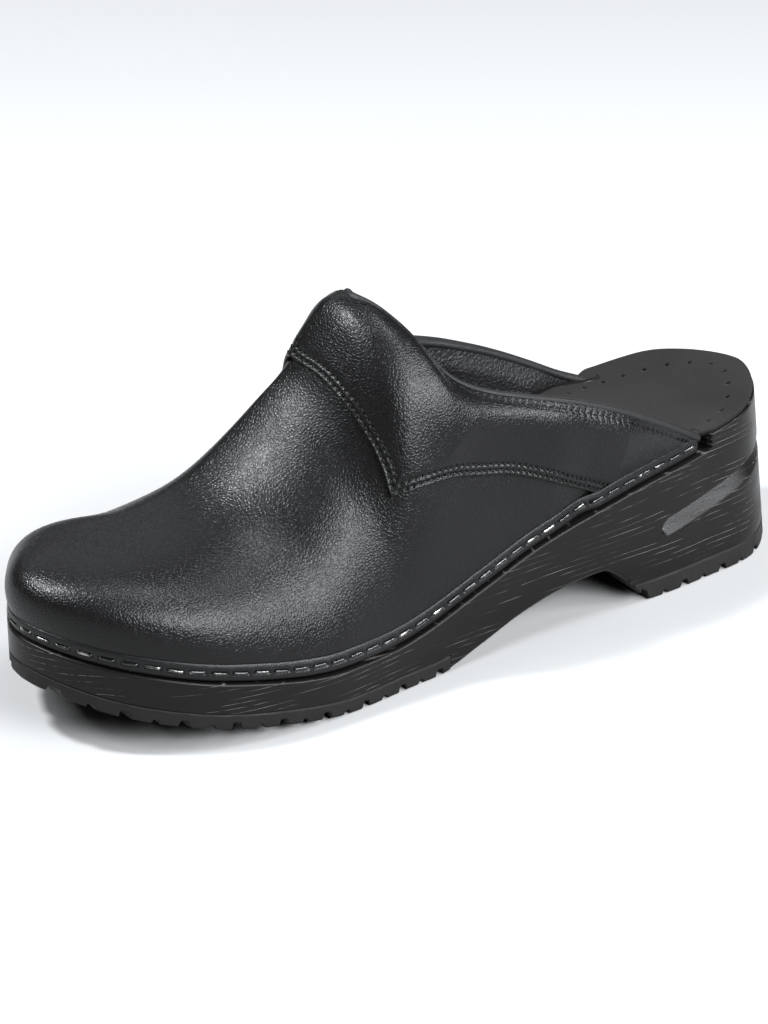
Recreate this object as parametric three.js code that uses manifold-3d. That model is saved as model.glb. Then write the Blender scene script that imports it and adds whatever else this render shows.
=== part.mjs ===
// Open-back clog for the left foot: a contoured wooden sole with rubber treads,
// a padded leather upper stapled round the forefoot and a perforated footbed.
// Toe along -X, heel along +X, lateral side -Y, medial side +Y, floor at z = 0.
import * as THREE from "three";
import { mergeVertices } from "three/addons/utils/BufferGeometryUtils.js";
import Module from "manifold-3d";

const wasm = await Module();
wasm.setup();

// ---------------------------------------------------------------- dimensions, mm
const CENTRE_X = 1.86; // middle of the finished shoe, moved to the origin
const CENTRE_Y = 0.88;
const HALF_LENGTH = 142.5;
const UPPER_END = 101.5; // where the topline meets the feather edge
const STRIP_END = 99.5;
const RABBET_END = 104.5; // the step that closes the recess for the upper
const EDGE_X = [-136, -120, -95, -60, -20, 20, 60, 97, 126];
const EDGE_LATERAL = [-22, -37.5, -48.5, -52, -47, -42.5, -39.5, -34.5, -26.5];
const EDGE_MEDIAL = [15, 38.5, 51, 54, 48, 39, 35.5, 33, 26];
const TIP_Y = -3;

const VAMP_THICKNESS = 1.6;
const COLLAR_THICKNESS = 1.5;
const LINING_THICKNESS = 1;
const PUFF_THICKNESS = 1;
const LAYER_GAP = 0.3;
const PADDING_DEPTH = 3.2; // lining depth below the leather where the foam lies
const SOCK_THICKNESS = 1.8;
const CUSHION_THICKNESS = 3;
const CUSHION_MARGIN = 7;
const RUBBER_THICKNESS = 5.4;
const STRIP_HEIGHT = 5.6;
const STRIP_THICKNESS = 1.4;
const STAPLE_CROWN = 5.6;
const STAPLE_WIRE = 0.8;
const STAPLE_LEG = 1.6;
const STAPLE_PITCH = 14;
const BEAD_HALF_WIDTH = 2.4;
const BEAD_HALF_HEIGHT = 1.5;
const BEAD_DROP = 1.2; // the bead's centre lies this far below its crest line
const BEAD_LIFT = 0.35; // and this far outside the leather's reference surface
const LEDGE_LIFT = 0.4; // the upper's feather edge above the sole's ledge
const COLLAR_LIFT = 0.2; // the collar's inner face above the vamp's outer face
const SOCK_INSET = 0.8; // the footbed leather's edge inside the sole's outline
const FORE_RUBBER_END = -9;
const HEEL_RUBBER_START = 60;
const HEEL_RUBBER_TOP = 7; // flat joint between the heel and its tread
const HEEL_RUBBER_EDGE = 68.2; // where that joint meets the heel's front face

const PEAK_X = -17; // the upper's highest point, where the topline crosses the ridge
const SWEEP_START = -20; // ahead of this the leather's rows lean back over the toe
const TOE_SWEEP = 42; // by this much at the toe tip

const GRID_ROWS = 24; // from the toe to each rear end
const GRID_COLS = 7; // from the feather edge to the ridge

// ---------------------------------------------------------------- profiles along x
// A smooth curve through [x, value] pairs, level at its turning points and held
// flat past both ends.
function profile(points) {
  const last = points.length - 1;
  const slope = (i) => (points[i + 1][1] - points[i][1]) / (points[i + 1][0] - points[i][0]);
  const tangents = points.map((_, i) => {
    if (i === 0) return slope(0);
    if (i === last) return slope(last - 1);
    const turns = slope(i - 1) * slope(i) <= 0;
    return turns ? 0 : (slope(i - 1) + slope(i)) / 2;
  });
  return (x) => {
    if (x <= points[0][0]) return points[0][1];
    if (x >= points[last][0]) return points[last][1];
    let i = 0;
    while (x > points[i + 1][0]) i += 1;
    const span = points[i + 1][0] - points[i][0];
    const t = (x - points[i][0]) / span;
    const a = 2 * t ** 3 - 3 * t ** 2 + 1;
    const b = t ** 3 - 2 * t ** 2 + t;
    const c = t ** 3 - t ** 2;
    const bend = b * tangents[i] + c * tangents[i + 1];
    return a * points[i][1] + (1 - a) * points[i + 1][1] + span * bend;
  };
}

const treadZ = profile([
  [-142.5, 19], [-125, 13], [-100, 7], [-75, 3], [-45, 0], [-15, 0], [5, 5], [20, 10],
  [40, 14.5], [55, 15.5], [64, 10.5], [76, 0], [142.5, 0],
]);
const ledgeZ = profile([
  [-142.5, 33.5], [-120, 27.5], [-90, 21], [-50, 15.5], [-25, 16.5], [5, 25], [30, 33],
  [70, 41], [101, 44.5], [142.5, 50],
]);
const rimZ = profile([
  [-142.5, 42], [-120, 36.5], [-90, 30], [-50, 25], [-25, 26.5], [5, 35.5], [20, 40.5],
  [50, 48], [78, 52.4], [98, 51.6], [112, 53], [128, 55.4], [142.5, 56.4],
]);
const dishDepth = profile([
  [-142.5, 0], [-115, 1.5], [-60, 3], [0, 3], [60, 3.5], [100, 4.5], [120, 4], [142.5, 0],
]);
const heelFlare = profile([[-142.5, -0.9], [-60, 0], [40, 0.5], [90, 3.5], [142.5, 5.5]]);
const ridgeY = profile([[-101, 9], [-60, 10], [-40, 7.5], [-31, 5], [-17, 0], [102, 0]]);
const ridgeZ = profile([
  [-101, 56.8], [-90, 57.4], [-80, 59.4], [-70, 63.8], [-57, 73.4], [-44, 85.6], [-36, 94],
  [-29, 106], [-23, 113.6], [-17, 115], [-9.5, 110.5], [-2, 105], [8, 102.5], [28, 103],
  [102, 104],
]);
const fullness = {
  lateral: profile([
    [-143, 1.4], [-115, 1.05], [-85, 0.72], [-55, 0.42], [-33, 0.42], [-17, 0.7], [20, 0.75], [60, 0.9],
    [102, 0.9],
  ]),
  medial: profile([
    [-143, 1.4], [-130, 1.05], [-115, 0.44], [-85, 0.2], [-55, -0.05], [-31, -0.1], [-17, 0.4], [20, 0.8],
    [60, 1], [102, 1],
  ]),
};
const featherInset = profile([[-143, 3], [34, 3], [51, 4.4], [102, 4.4]]);
const stripLift = profile([[-143, 0.3], [36, 0.3], [51, 2.05], [102, 2.05]]);
const rearBlend = profile([[74.5, 0], [85, 1]]);

// Side-view curves of the upper, as [x, z].
const TOPLINE_LATERAL = [
  [-17.5, 115], [-13.6, 112.9], [-9.5, 108.8], [-5.5, 103.6], [-2, 97.4], [2, 92.7], [8, 89],
  [16, 85.8], [28.6, 82.3], [43, 78.3], [60, 71.8], [80, 61.9], [94, 54], [102, 49],
];
const MEDIAL_DROP = profile([[8, 0], [25, 2.4], [86, 3.6], [102, 1]]);
const TOPLINE_MEDIAL = TOPLINE_LATERAL.map(([x, z]) => [x, z - MEDIAL_DROP(x)]);
const SEAM = [
  [-35.6, 98], [-33, 95.3], [-31.6, 90.3], [-30.4, 86.2], [-29.2, 80.5], [-28.2, 75.6], [-27.6, 69.6],
  [-27.3, 63.3], [-18, 65.5], [-6.6, 65.3], [6, 62.7], [17.6, 60], [29.7, 55.2], [42, 49.1], [51.5, 44.3],
  [61, 39],
];
const VAMP_EDGE = [
  [-28, 112], [-26, 102], [-23.5, 91], [-21, 82], [-19.6, 74.2], [-7, 73.5], [7, 70.8],
  [20, 67], [33, 62], [45, 57], [55, 52], [64, 47], [72, 42.5], [74, 38],
];
const PADDING_EDGE = [
  [-11, 98], [-13, 90], [-14, 82], [-13, 76.3], [-7, 75.3], [7, 72.6], [20, 68.8], [33, 63.8],
  [45, 58.8], [62, 56],
];

// ---------------------------------------------------------------- sole outline
const outline = new THREE.CatmullRomCurve3(
  [
    [-HALF_LENGTH, TIP_Y],
    ...EDGE_X.map((x, i) => [x, EDGE_LATERAL[i]]),
    [HALF_LENGTH, 0],
    ...EDGE_X.map((x, i) => [x, EDGE_MEDIAL[i]]).reverse(),
  ].map(([x, y]) => new THREE.Vector3(x, y, 0)),
  true,
  "catmullrom",
  0.5,
);
const OUTLINE_KNOTS = 2 * (EDGE_X.length + 1);

// The outline point at knot number k (0 toe tip, positive round the medial side),
// moved outwards by the given distance.
function edge(k, outwards = 0) {
  const t = (((-k / OUTLINE_KNOTS) % 1) + 1) % 1;
  const point = outline.getPoint(t);
  const tangent = outline.getTangent(t);
  const normal = new THREE.Vector3(-tangent.y, tangent.x, 0).negate();
  return { point: point.addScaledVector(normal, outwards), normal };
}

// The knot number at which the outline passes x, on the lateral side when side is -1.
function knotAt(x, side = 1) {
  let low = 0;
  let high = OUTLINE_KNOTS / 2;
  for (let i = 0; i < 40; i += 1) {
    const middle = (low + high) / 2;
    if (edge(side * middle).point.x < x) low = middle;
    else high = middle;
  }
  return side * low;
}
const KNOT_END = knotAt(UPPER_END);

// Both edges of the outline as functions of x, and the place of (x, y) between them,
// -1 at the lateral edge to 1 at the medial edge.
const edgeY = (side) => profile(Array.from({ length: 81 }, (_, i) => {
  const { point } = edge((side * i * OUTLINE_KNOTS) / 160);
  return [point.x, point.y];
}));
const lateralY = edgeY(-1);
const medialY = edgeY(1);
function across(x, y) {
  const low = lateralY(x);
  const high = medialY(x);
  if (high - low < 1) return 1;
  return THREE.MathUtils.clamp((2 * (y - low)) / (high - low) - 1, -1, 1);
}

// ---------------------------------------------------------------- upper surface
const smooth = (t) => {
  const c = THREE.MathUtils.clamp(t, 0, 1);
  return c * c * (3 - 2 * c);
};

// Reference surface of the leather: k is the knot on the outline, v runs from the
// feather edge (0) to the ridge of the instep (1).
function leather(k, v) {
  const { point, normal } = edge(k);
  const x = point.x;
  const foot = point.addScaledVector(normal, -featherInset(x));
  foot.z = ledgeZ(x) + LEDGE_LIFT;
  const reach = Math.max(0, (SWEEP_START - x) / (HALF_LENGTH + SWEEP_START)) ** 3;
  const ridgeX = x + TOE_SWEEP * reach;
  const ridge = new THREE.Vector3(ridgeX, ridgeY(ridgeX), ridgeZ(ridgeX));
  const slope = (ridgeZ(ridgeX + 0.5) - ridgeZ(ridgeX - 0.5)) * (ridgeX > PEAK_X ? 0 : 1);
  const m = k < 0 ? fullness.lateral(x) : fullness.medial(x);
  const height = ridge.z - foot.z;
  const inward = new THREE.Vector3().subVectors(foot, ridge).setZ(0);
  const low = foot.clone().addScaledVector(normal, 6 * m - 1);
  low.z += height * (0.2 + 0.3 * m);
  const mid = ridge.clone().addScaledVector(inward, 0.6 + 0.38 * m);
  mid.z = foot.z + height * (0.5 + 0.45 * m);
  const high = ridge.clone().addScaledVector(inward, 0.2 + 0.4 * m);
  high.z += slope * (high.x - ridge.x);
  const w = 1 - v;
  return foot.multiplyScalar(w ** 4)
    .addScaledVector(low, 4 * w ** 3 * v)
    .addScaledVector(mid, 6 * w * w * v * v)
    .addScaledVector(high, 4 * w * v ** 3)
    .addScaledVector(ridge, v ** 4);
}

function leatherNormal(k, v) {
  const dk = 0.02;
  const dv = 0.01;
  if (v > 0.995) {
    const x = leather(k, 1).x;
    const slope = ridgeZ(x + 0.5) - ridgeZ(x - 0.5);
    return new THREE.Vector3(x > PEAK_X ? 0 : -slope, 0, 1).normalize();
  }
  const alongEdge = leather(k + dk, v).sub(leather(k - dk, v));
  const up = leather(k, Math.min(1, v + dv)).sub(leather(k, Math.max(0, v - dv)));
  return alongEdge.cross(up).normalize().negate();
}

// Shortest side-view distance from (x, z) to a chain of points.
function chainDistance(chain, x, z) {
  let best = Infinity;
  for (let i = 0; i + 1 < chain.length; i += 1) {
    const [ax, az] = chain[i];
    const [bx, bz] = chain[i + 1];
    const length2 = (bx - ax) ** 2 + (bz - az) ** 2;
    const t = THREE.MathUtils.clamp(((x - ax) * (bx - ax) + (z - az) * (bz - az)) / length2, 0, 1);
    best = Math.min(best, Math.hypot(x - ax - t * (bx - ax), z - az - t * (bz - az)));
  }
  return best;
}

// Depth of the lining below the leather: full over the foam, thin at the topline
// and at the feather edge behind the vamp.
function liningDepth(point) {
  const thin = LAYER_GAP;
  const top = smooth((chainDistance(TOPLINE_LATERAL, point.x, point.z) - 3) / 9);
  const low = 1 - rearBlend(point.x) * (1 - smooth((point.z - ledgeZ(point.x) - 3) / 12));
  return thin + (PADDING_DEPTH - thin) * top * low;
}

// ---------------------------------------------------------------- solids
function toSolid(positions, triangles) {
  const solid = (tris) => new wasm.Manifold(new wasm.Mesh({
    numProp: 3,
    vertProperties: new Float32Array(positions),
    triVerts: new Uint32Array(tris),
  }));
  const made = solid(triangles);
  if (made.volume() > 0) return made;
  const flipped = [];
  for (let i = 0; i < triangles.length; i += 3) {
    flipped.push(triangles[i], triangles[i + 2], triangles[i + 1]);
  }
  return solid(flipped);
}

function geometrySolid(geometry) {
  const bare = geometry.clone();
  bare.deleteAttribute("normal");
  bare.deleteAttribute("uv");
  const merged = mergeVertices(bare, 1e-4);
  return toSolid(merged.getAttribute("position").array, Array.from(merged.index.array));
}

// Reach of the cutting bodies, past every side of the shoe.
const FAR = 190;
const WIDE = 90;
const UNDER = -20;
const BLANK = 160; // half length of the blank the sole's pieces are cut from

// A side-view outline, [x, z] points, pulled across the shoe from y0 to y1.
function slice(points, y0 = -WIDE, y1 = WIDE) {
  const shape = new THREE.Shape(points.map(([x, z]) => new THREE.Vector2(x, z)));
  const geometry = new THREE.ExtrudeGeometry(shape, { depth: y1 - y0, bevelEnabled: false });
  geometry.rotateX(Math.PI / 2);
  geometry.translate(0, y1, 0);
  return geometrySolid(geometry);
}

function box(x0, x1, y0, y1, z0, z1) {
  const geometry = new THREE.BoxGeometry(x1 - x0, y1 - y0, z1 - z0);
  geometry.translate((x0 + x1) / 2, (y0 + y1) / 2, (z0 + z1) / 2);
  return geometrySolid(geometry);
}

// One layer of the upper between two depths, measured outwards from the leather.
function layer(outer, inner, rows = GRID_ROWS, cols = GRID_COLS) {
  const positions = [];
  const width = 2 * rows + 1;
  const sheet = width * (cols + 1);
  for (const depth of [outer, inner]) {
    for (let i = 0; i < width; i += 1) {
      const k = ((i - rows) / rows) * KNOT_END;
      for (let j = 0; j <= cols; j += 1) {
        const point = leather(k, j / cols);
        const normal = leatherNormal(k, j / cols);
        point.addScaledVector(normal, depth(point, k));
        positions.push(point.x, point.y, point.z);
      }
    }
  }
  const id = (s, i, j) => {
    const row = j === cols && i > rows ? width - 1 - i : i;
    return s * sheet + row * (cols + 1) + j;
  };
  const triangles = [];
  const quad = (a, b, c, d) => {
    if (a !== b && b !== c && a !== c) triangles.push(a, b, c);
    if (a !== c && c !== d && a !== d) triangles.push(a, c, d);
  };
  for (let i = 0; i + 1 < width; i += 1) {
    for (let j = 0; j < cols; j += 1) {
      quad(id(0, i, j), id(0, i + 1, j), id(0, i + 1, j + 1), id(0, i, j + 1));
      quad(id(1, i, j), id(1, i, j + 1), id(1, i + 1, j + 1), id(1, i + 1, j));
    }
    quad(id(0, i, 0), id(1, i, 0), id(1, i + 1, 0), id(0, i + 1, 0));
  }
  for (let j = 0; j < cols; j += 1) {
    quad(id(0, 0, j), id(0, 0, j + 1), id(1, 0, j + 1), id(1, 0, j));
    quad(id(0, width - 1, j), id(1, width - 1, j), id(1, width - 1, j + 1), id(0, width - 1, j + 1));
  }
  return toSolid(positions, triangles);
}

// A slab inside the sole outline: its offset from the outline is a function of x, and
// its heights are functions of x and y.
function slab({ offset, footOffset = offset, top, bottom, rows = 30, cols = 4 }) {
  const positions = [];
  const triangles = [];
  const ids = [[], []];
  [[offset, top], [footOffset, bottom]].forEach(([move, height], side) => {
    for (let i = 0; i <= rows; i += 1) {
      const k = (i / rows) * (OUTLINE_KNOTS / 2);
      const x = edge(k).point.x;
      const lateral = edge(-k, move(x)).point;
      const medial = edge(k, move(x)).point;
      const single = i === 0 || i === rows;
      for (let j = 0; j <= cols; j += 1) {
        if (single && j > 0) {
          ids[side].push(ids[side][ids[side].length - 1]);
          continue;
        }
        const point = lateral.clone().lerp(medial, single ? 0.5 : j / cols);
        ids[side].push(positions.length / 3);
        positions.push(point.x, point.y, height(point.x, point.y));
      }
    }
  });
  const at = (side, i, j) => ids[side][i * (cols + 1) + j];
  const tri = (a, b, c) => {
    if (a !== b && b !== c && a !== c) triangles.push(a, b, c);
  };
  const quad = (a, b, c, d) => {
    tri(a, b, c);
    tri(a, c, d);
  };
  for (let i = 0; i < rows; i += 1) {
    for (let j = 0; j < cols; j += 1) {
      quad(at(0, i, j), at(0, i + 1, j), at(0, i + 1, j + 1), at(0, i, j + 1));
      quad(at(1, i, j), at(1, i, j + 1), at(1, i + 1, j + 1), at(1, i + 1, j));
    }
    quad(at(0, i, 0), at(1, i, 0), at(1, i + 1, 0), at(0, i + 1, 0));
    quad(at(0, i, cols), at(0, i + 1, cols), at(1, i + 1, cols), at(1, i, cols));
  }
  return toSolid(positions, triangles);
}

// A closed body skinned over a row of equal-sized section rings.
function loft(rings) {
  const positions = rings.flat().flatMap((p) => [p.x, p.y, p.z]);
  const n = rings[0].length;
  const triangles = [];
  for (let r = 0; r + 1 < rings.length; r += 1) {
    for (let i = 0; i < n; i += 1) {
      const a = r * n + i;
      const b = r * n + ((i + 1) % n);
      triangles.push(a, b, b + n, a, b + n, a + n);
    }
  }
  const last = (rings.length - 1) * n;
  for (let i = 1; i + 1 < n; i += 1) {
    triangles.push(0, i + 1, i, last, last + i, last + i + 1);
  }
  return toSolid(positions, triangles);
}

// ---------------------------------------------------------------- upper pieces
const REAR_Z = 47; // the trimming line's height behind the upper
const insideTop = (chain, y0, y1, drop) => slice(
  [
    [-FAR, UNDER], [FAR, UNDER], [FAR, REAR_Z - drop],
    ...chain.map(([x, z]) => [x, z - drop]).reverse(),
    [chain[0][0], FAR], [-FAR, FAR],
  ],
  y0,
  y1,
);
const trimmed = (drop) => insideTop(TOPLINE_LATERAL, -WIDE, 0, drop)
  .add(insideTop(TOPLINE_MEDIAL, 0, WIDE, drop));
const belowTopline = trimmed(1.4);
const belowLining = trimmed(3);
const behindSeam = slice([
  [-44, FAR], ...SEAM, [66, UNDER], [FAR, UNDER], [FAR, FAR],
]);
const vampSide = slice([
  [-FAR, UNDER], [74, UNDER], ...VAMP_EDGE.slice().reverse(), [-29.5, FAR], [-FAR, FAR],
]);

// Points along the topline of one side, from the peak to the rear end.
function toplinePath(side, chain) {
  const xs = chain.map(([x]) => x);
  const dense = [];
  for (let i = 0; i + 1 < xs.length; i += 1) {
    const steps = Math.ceil((xs[i + 1] - xs[i]) / 9);
    for (let s = 0; s < steps; s += 1) dense.push(xs[i] + ((xs[i + 1] - xs[i]) * s) / steps);
  }
  dense.push(UPPER_END);
  const topZ = profile(chain);
  return dense.filter((x) => x <= UPPER_END).map((x) => {
    const k = knotAt(x, side);
    let low = 0;
    let high = 1;
    for (let i = 0; i < 30; i += 1) {
      const middle = (low + high) / 2;
      if (leather(k, middle).z < topZ(x)) low = middle;
      else high = middle;
    }
    return { point: leather(k, low), normal: leatherNormal(k, Math.min(low, 0.985)) };
  });
}

const toplineRun = [
  ...toplinePath(-1, TOPLINE_LATERAL).reverse(),
  ...toplinePath(1, TOPLINE_MEDIAL).slice(1),
];

// Rolled binding along the topline, swollen by the given amount and, as a cutter,
// carried on upwards past the leather's edge.
function bindingBody(swell, overrun = 0) {
  const sides = 8;
  const rings = toplineRun.map(({ point, normal }, i) => {
    const before = toplineRun[Math.max(0, i - 1)].point;
    const after = toplineRun[Math.min(toplineRun.length - 1, i + 1)].point;
    const along = new THREE.Vector3().subVectors(after, before).normalize();
    const out = normal.clone().addScaledVector(along, -normal.dot(along)).normalize();
    const up = new THREE.Vector3().crossVectors(out, along).normalize();
    if (up.z < 0 || up.x < -0.3) up.negate();
    const centre = point.clone().addScaledVector(out, BEAD_LIFT).addScaledVector(up, -BEAD_DROP);
    return Array.from({ length: sides }, (_, s) => {
      const angle = ((s + 0.5) / sides) * 2 * Math.PI;
      return centre.clone()
        .addScaledVector(out, Math.cos(angle) * (BEAD_HALF_WIDTH + swell))
        .addScaledVector(up, Math.sin(angle) * (BEAD_HALF_HEIGHT + swell) + (angle < Math.PI ? overrun : 0));
    });
  });
  return loft(rings);
}

const stripOuter = (point) => stripLift(point.x) + STRIP_THICKNESS;
const stripZone = slice([
  ...Array.from({ length: 60 }, (_, i) => {
    const x = -150 + ((STRIP_END + 150) * i) / 59;
    return [x, ledgeZ(x) + LEDGE_LIFT + STRIP_HEIGHT];
  }),
  [STRIP_END, UNDER], [-150, UNDER],
]);

// ---------------------------------------------------------------- sole pieces
const endFade = (x) => smooth((HALF_LENGTH - Math.abs(x)) / 26);
const sockTop = (x, y) => rimZ(x) - dishDepth(x) * (1 - across(x, y) ** 4) * endFade(x);
const sockBottom = (x, y) => sockTop(x, y) - SOCK_THICKNESS;
const woodTop = (x, y) => sockBottom(x, y) - LAYER_GAP;
const cushionTop = (x, y) => woodTop(x, y) - 0.5;
const cushionBottom = (x, y) => cushionTop(x, y) - CUSHION_THICKNESS;
const rabbetWall = (x) => -featherInset(x) - LINING_THICKNESS - LAYER_GAP
  - THREE.MathUtils.lerp(PADDING_DEPTH, LAYER_GAP, rearBlend(x));
const sockOffset = (x) => (x > RABBET_END ? -SOCK_INSET : rabbetWall(x) - 0.2);

const soleBody = slab({
  offset: () => 0,
  footOffset: heelFlare,
  top: woodTop,
  bottom: () => -6,
});
const rabbetCut = slab({
  offset: () => 20,
  top: () => 120,
  bottom: (x) => ledgeZ(x) - LAYER_GAP,
  cols: 2,
})
  .subtract(slab({ offset: rabbetWall, top: () => 130, bottom: () => -10, cols: 2 }))
  .intersect(box(-FAR, RABBET_END, -WIDE, WIDE, UNDER, FAR));

// Room kept clear in the sole and the footbed for the leather and its lining.
const upperRoom = layer(() => 1, (p) => -liningDepth(p) - LINING_THICKNESS - LAYER_GAP - 0.1);

const jointZ = (x) => treadZ(x) + RUBBER_THICKNESS;
const span = (from, to, steps, height) => Array.from({ length: steps + 1 }, (_, i) => {
  const x = from + ((to - from) * i) / steps;
  return [x, height(x)];
});

function soleBlock() {
  const above = slice([
    ...span(-BLANK, FORE_RUBBER_END, 24, jointZ),
    ...span(FORE_RUBBER_END + LAYER_GAP, 68.4, 18, treadZ).filter(([, z]) => z > HEEL_RUBBER_TOP),
    [68, HEEL_RUBBER_TOP], [BLANK, HEEL_RUBBER_TOP], [BLANK, BLANK], [-BLANK, BLANK],
  ]);
  const wood = soleBody.subtract(rabbetCut).intersect(above);
  const pocket = slab({
    offset: (x) => sockOffset(x) - CUSHION_MARGIN + LAYER_GAP,
    top: () => 130,
    bottom: (x, y) => cushionBottom(x, y) - LAYER_GAP,
    cols: 4,
  });
  return wood.subtract(pocket).subtract(heelGroove()).subtract(upperRoom);
}

// Decorative groove round the heel, fading out at both front ends.
function heelGroove() {
  const grooveZ = profile([[78, 22.5], [100, 26.5], [142.5, 36.5]]);
  const start = knotAt(79);
  const turns = 24;
  const rings = Array.from({ length: turns + 1 }, (_, i) => {
    const k = start + ((OUTLINE_KNOTS - 2 * start) * i) / turns;
    const x = edge(k).point.x;
    const z = grooveZ(x);
    const wall = heelFlare(x) * (1 - z / 60);
    const { point, normal } = edge(k, wall);
    const fade = Math.min(1, 0.25 + Math.min(i, turns - i) / 1.5);
    return Array.from({ length: 8 }, (_, s) => {
      const angle = ((s + 0.5) / 8) * 2 * Math.PI;
      const ring = point.clone().addScaledVector(normal, Math.cos(angle) * 2.2 * fade);
      ring.z = z + Math.sin(angle) * 3.4 * fade;
      return ring;
    });
  });
  return loft(rings);
}

// Lower outline of a rubber tread with cross grooves, wide and narrow in turn.
function treadChain(from, to, pitch) {
  const chain = [];
  let wide = true;
  let x = from;
  while (x < to) {
    const half = wide ? 1.2 : 0.8;
    const deep = wide ? 2.4 : 1.4;
    const mid = x + pitch / 2;
    chain.push([x, treadZ(x)]);
    if (mid + half + 1 < to) {
      chain.push([mid - half - 0.5, treadZ(mid - half - 0.5)]);
      chain.push([mid - half, treadZ(mid) + deep]);
      chain.push([mid + half, treadZ(mid) + deep]);
      chain.push([mid + half + 0.5, treadZ(mid + half + 0.5)]);
    }
    x += pitch;
    wide = !wide;
  }
  chain.push([to, treadZ(to)]);
  return chain;
}

function foreOutsole() {
  const band = slice([
    ...treadChain(-150, FORE_RUBBER_END, 7.8),
    ...span(-BLANK, FORE_RUBBER_END, 24, (x) => jointZ(x) - LAYER_GAP).reverse(),
  ]);
  return soleBody.intersect(band);
}

function heelOutsole() {
  const top = HEEL_RUBBER_TOP - LAYER_GAP;
  const band = slice([
    ...span(HEEL_RUBBER_START, 76, 8, treadZ).filter(([, z]) => z < top - 0.3),
    ...treadChain(76.5, 150, 9),
    [BLANK, 0], [BLANK, top], [HEEL_RUBBER_EDGE, top],
  ]);
  return soleBody.intersect(band);
}

const footbedSock = () => {
  const full = slab({ offset: () => -SOCK_INSET, top: sockTop, bottom: sockBottom });
  const waist = slab({
    offset: (x) => rabbetWall(x) + LAYER_GAP,
    top: () => 130,
    bottom: () => -10,
    cols: 2,
  });
  const heel = box(RABBET_END + LAYER_GAP, FAR, -WIDE, WIDE, -10, 130);
  return full.intersect(waist.add(heel)).subtract(upperRoom);
};
const footbedCushion = () => slab({
  offset: (x) => sockOffset(x) - CUSHION_MARGIN,
  top: cushionTop,
  bottom: cushionBottom,
  cols: 4,
});

// ---------------------------------------------------------------- staples
const stripMiddle = STRIP_HEIGHT / 2;

// The place on the strip's outer face at knot k, at half the strip's height.
function stripPlace(k) {
  let low = 0;
  let high = 0.4;
  const base = leather(k, 0).z;
  for (let i = 0; i < 24; i += 1) {
    const middle = (low + high) / 2;
    if (leather(k, middle).z < base + stripMiddle) low = middle;
    else high = middle;
  }
  const point = leather(k, low);
  const normal = leatherNormal(k, low);
  point.addScaledVector(normal, stripOuter(point));
  return { point, normal };
}

// Knots at an even spacing along the strip, centred between its two ends.
function stapleKnots() {
  const fine = [];
  let run = 0;
  let last = stripPlace(-KNOT_END).point;
  for (let i = 0; i <= 1200; i += 1) {
    const k = -KNOT_END + (2 * KNOT_END * i) / 1200;
    const { point } = stripPlace(k);
    run += point.distanceTo(last);
    last = point;
    fine.push([k, run]);
  }
  const count = Math.floor((run - 8) / STAPLE_PITCH) + 1;
  const first = (run - (count - 1) * STAPLE_PITCH) / 2;
  return Array.from({ length: count }, (_, i) => fine.find(([, s]) => s >= first + i * STAPLE_PITCH)[0]);
}

function stapleGeometry() {
  const half = STAPLE_CROWN / 2;
  const inner = half - STAPLE_WIRE;
  const shape = new THREE.Shape([
    [-half, -STAPLE_LEG], [-inner, -STAPLE_LEG], [-inner, 0], [inner, 0], [inner, -STAPLE_LEG],
    [half, -STAPLE_LEG], [half, STAPLE_WIRE], [-half, STAPLE_WIRE],
  ].map(([x, y]) => new THREE.Vector2(x, y)));
  const geometry = new THREE.ExtrudeGeometry(shape, { depth: STAPLE_WIRE, bevelEnabled: false });
  geometry.translate(0, 0, -STAPLE_WIRE / 2);
  return geometry;
}

function staplePose(k) {
  const { point, normal } = stripPlace(k);
  const along = stripPlace(k + 0.03).point.sub(stripPlace(k - 0.03).point).normalize();
  const out = normal.clone().addScaledVector(along, -normal.dot(along)).normalize();
  const side = new THREE.Vector3().crossVectors(along, out);
  const matrix = new THREE.Matrix4().makeBasis(along, out, side);
  return matrix.setPosition(point.addScaledVector(out, LAYER_GAP));
}

function stapleSlots(poses) {
  let slots = null;
  for (const pose of poses) {
    const geometry = new THREE.BoxGeometry(STAPLE_CROWN + 0.5, 5, STAPLE_WIRE + 0.5);
    geometry.translate(0, -1, 0);
    geometry.applyMatrix4(pose);
    const slot = geometrySolid(geometry);
    slots = slots ? slots.add(slot) : slot;
  }
  return slots;
}

// ---------------------------------------------------------------- assembly
const clog = new THREE.Group();
clog.name = "clog";

function addMesh(name, geometry, color, roughness, metalness = 0) {
  const material = new THREE.MeshStandardMaterial({ color, roughness, metalness });
  const mesh = new THREE.Mesh(geometry, material);
  mesh.name = name;
  clog.add(mesh);
  return mesh;
}

function addSolid(name, solid, color, roughness, metalness = 0) {
  const mesh = solid.getMesh();
  const geometry = new THREE.BufferGeometry();
  geometry.setAttribute("position", new THREE.BufferAttribute(new Float32Array(mesh.vertProperties), 3));
  geometry.setIndex(new THREE.BufferAttribute(new Uint32Array(mesh.triVerts), 1));
  geometry.computeVertexNormals();
  return addMesh(name, geometry, color, roughness, metalness);
}

const beadRoom = bindingBody(LAYER_GAP, 4);
const poses = stapleKnots().map(staplePose);

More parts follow.
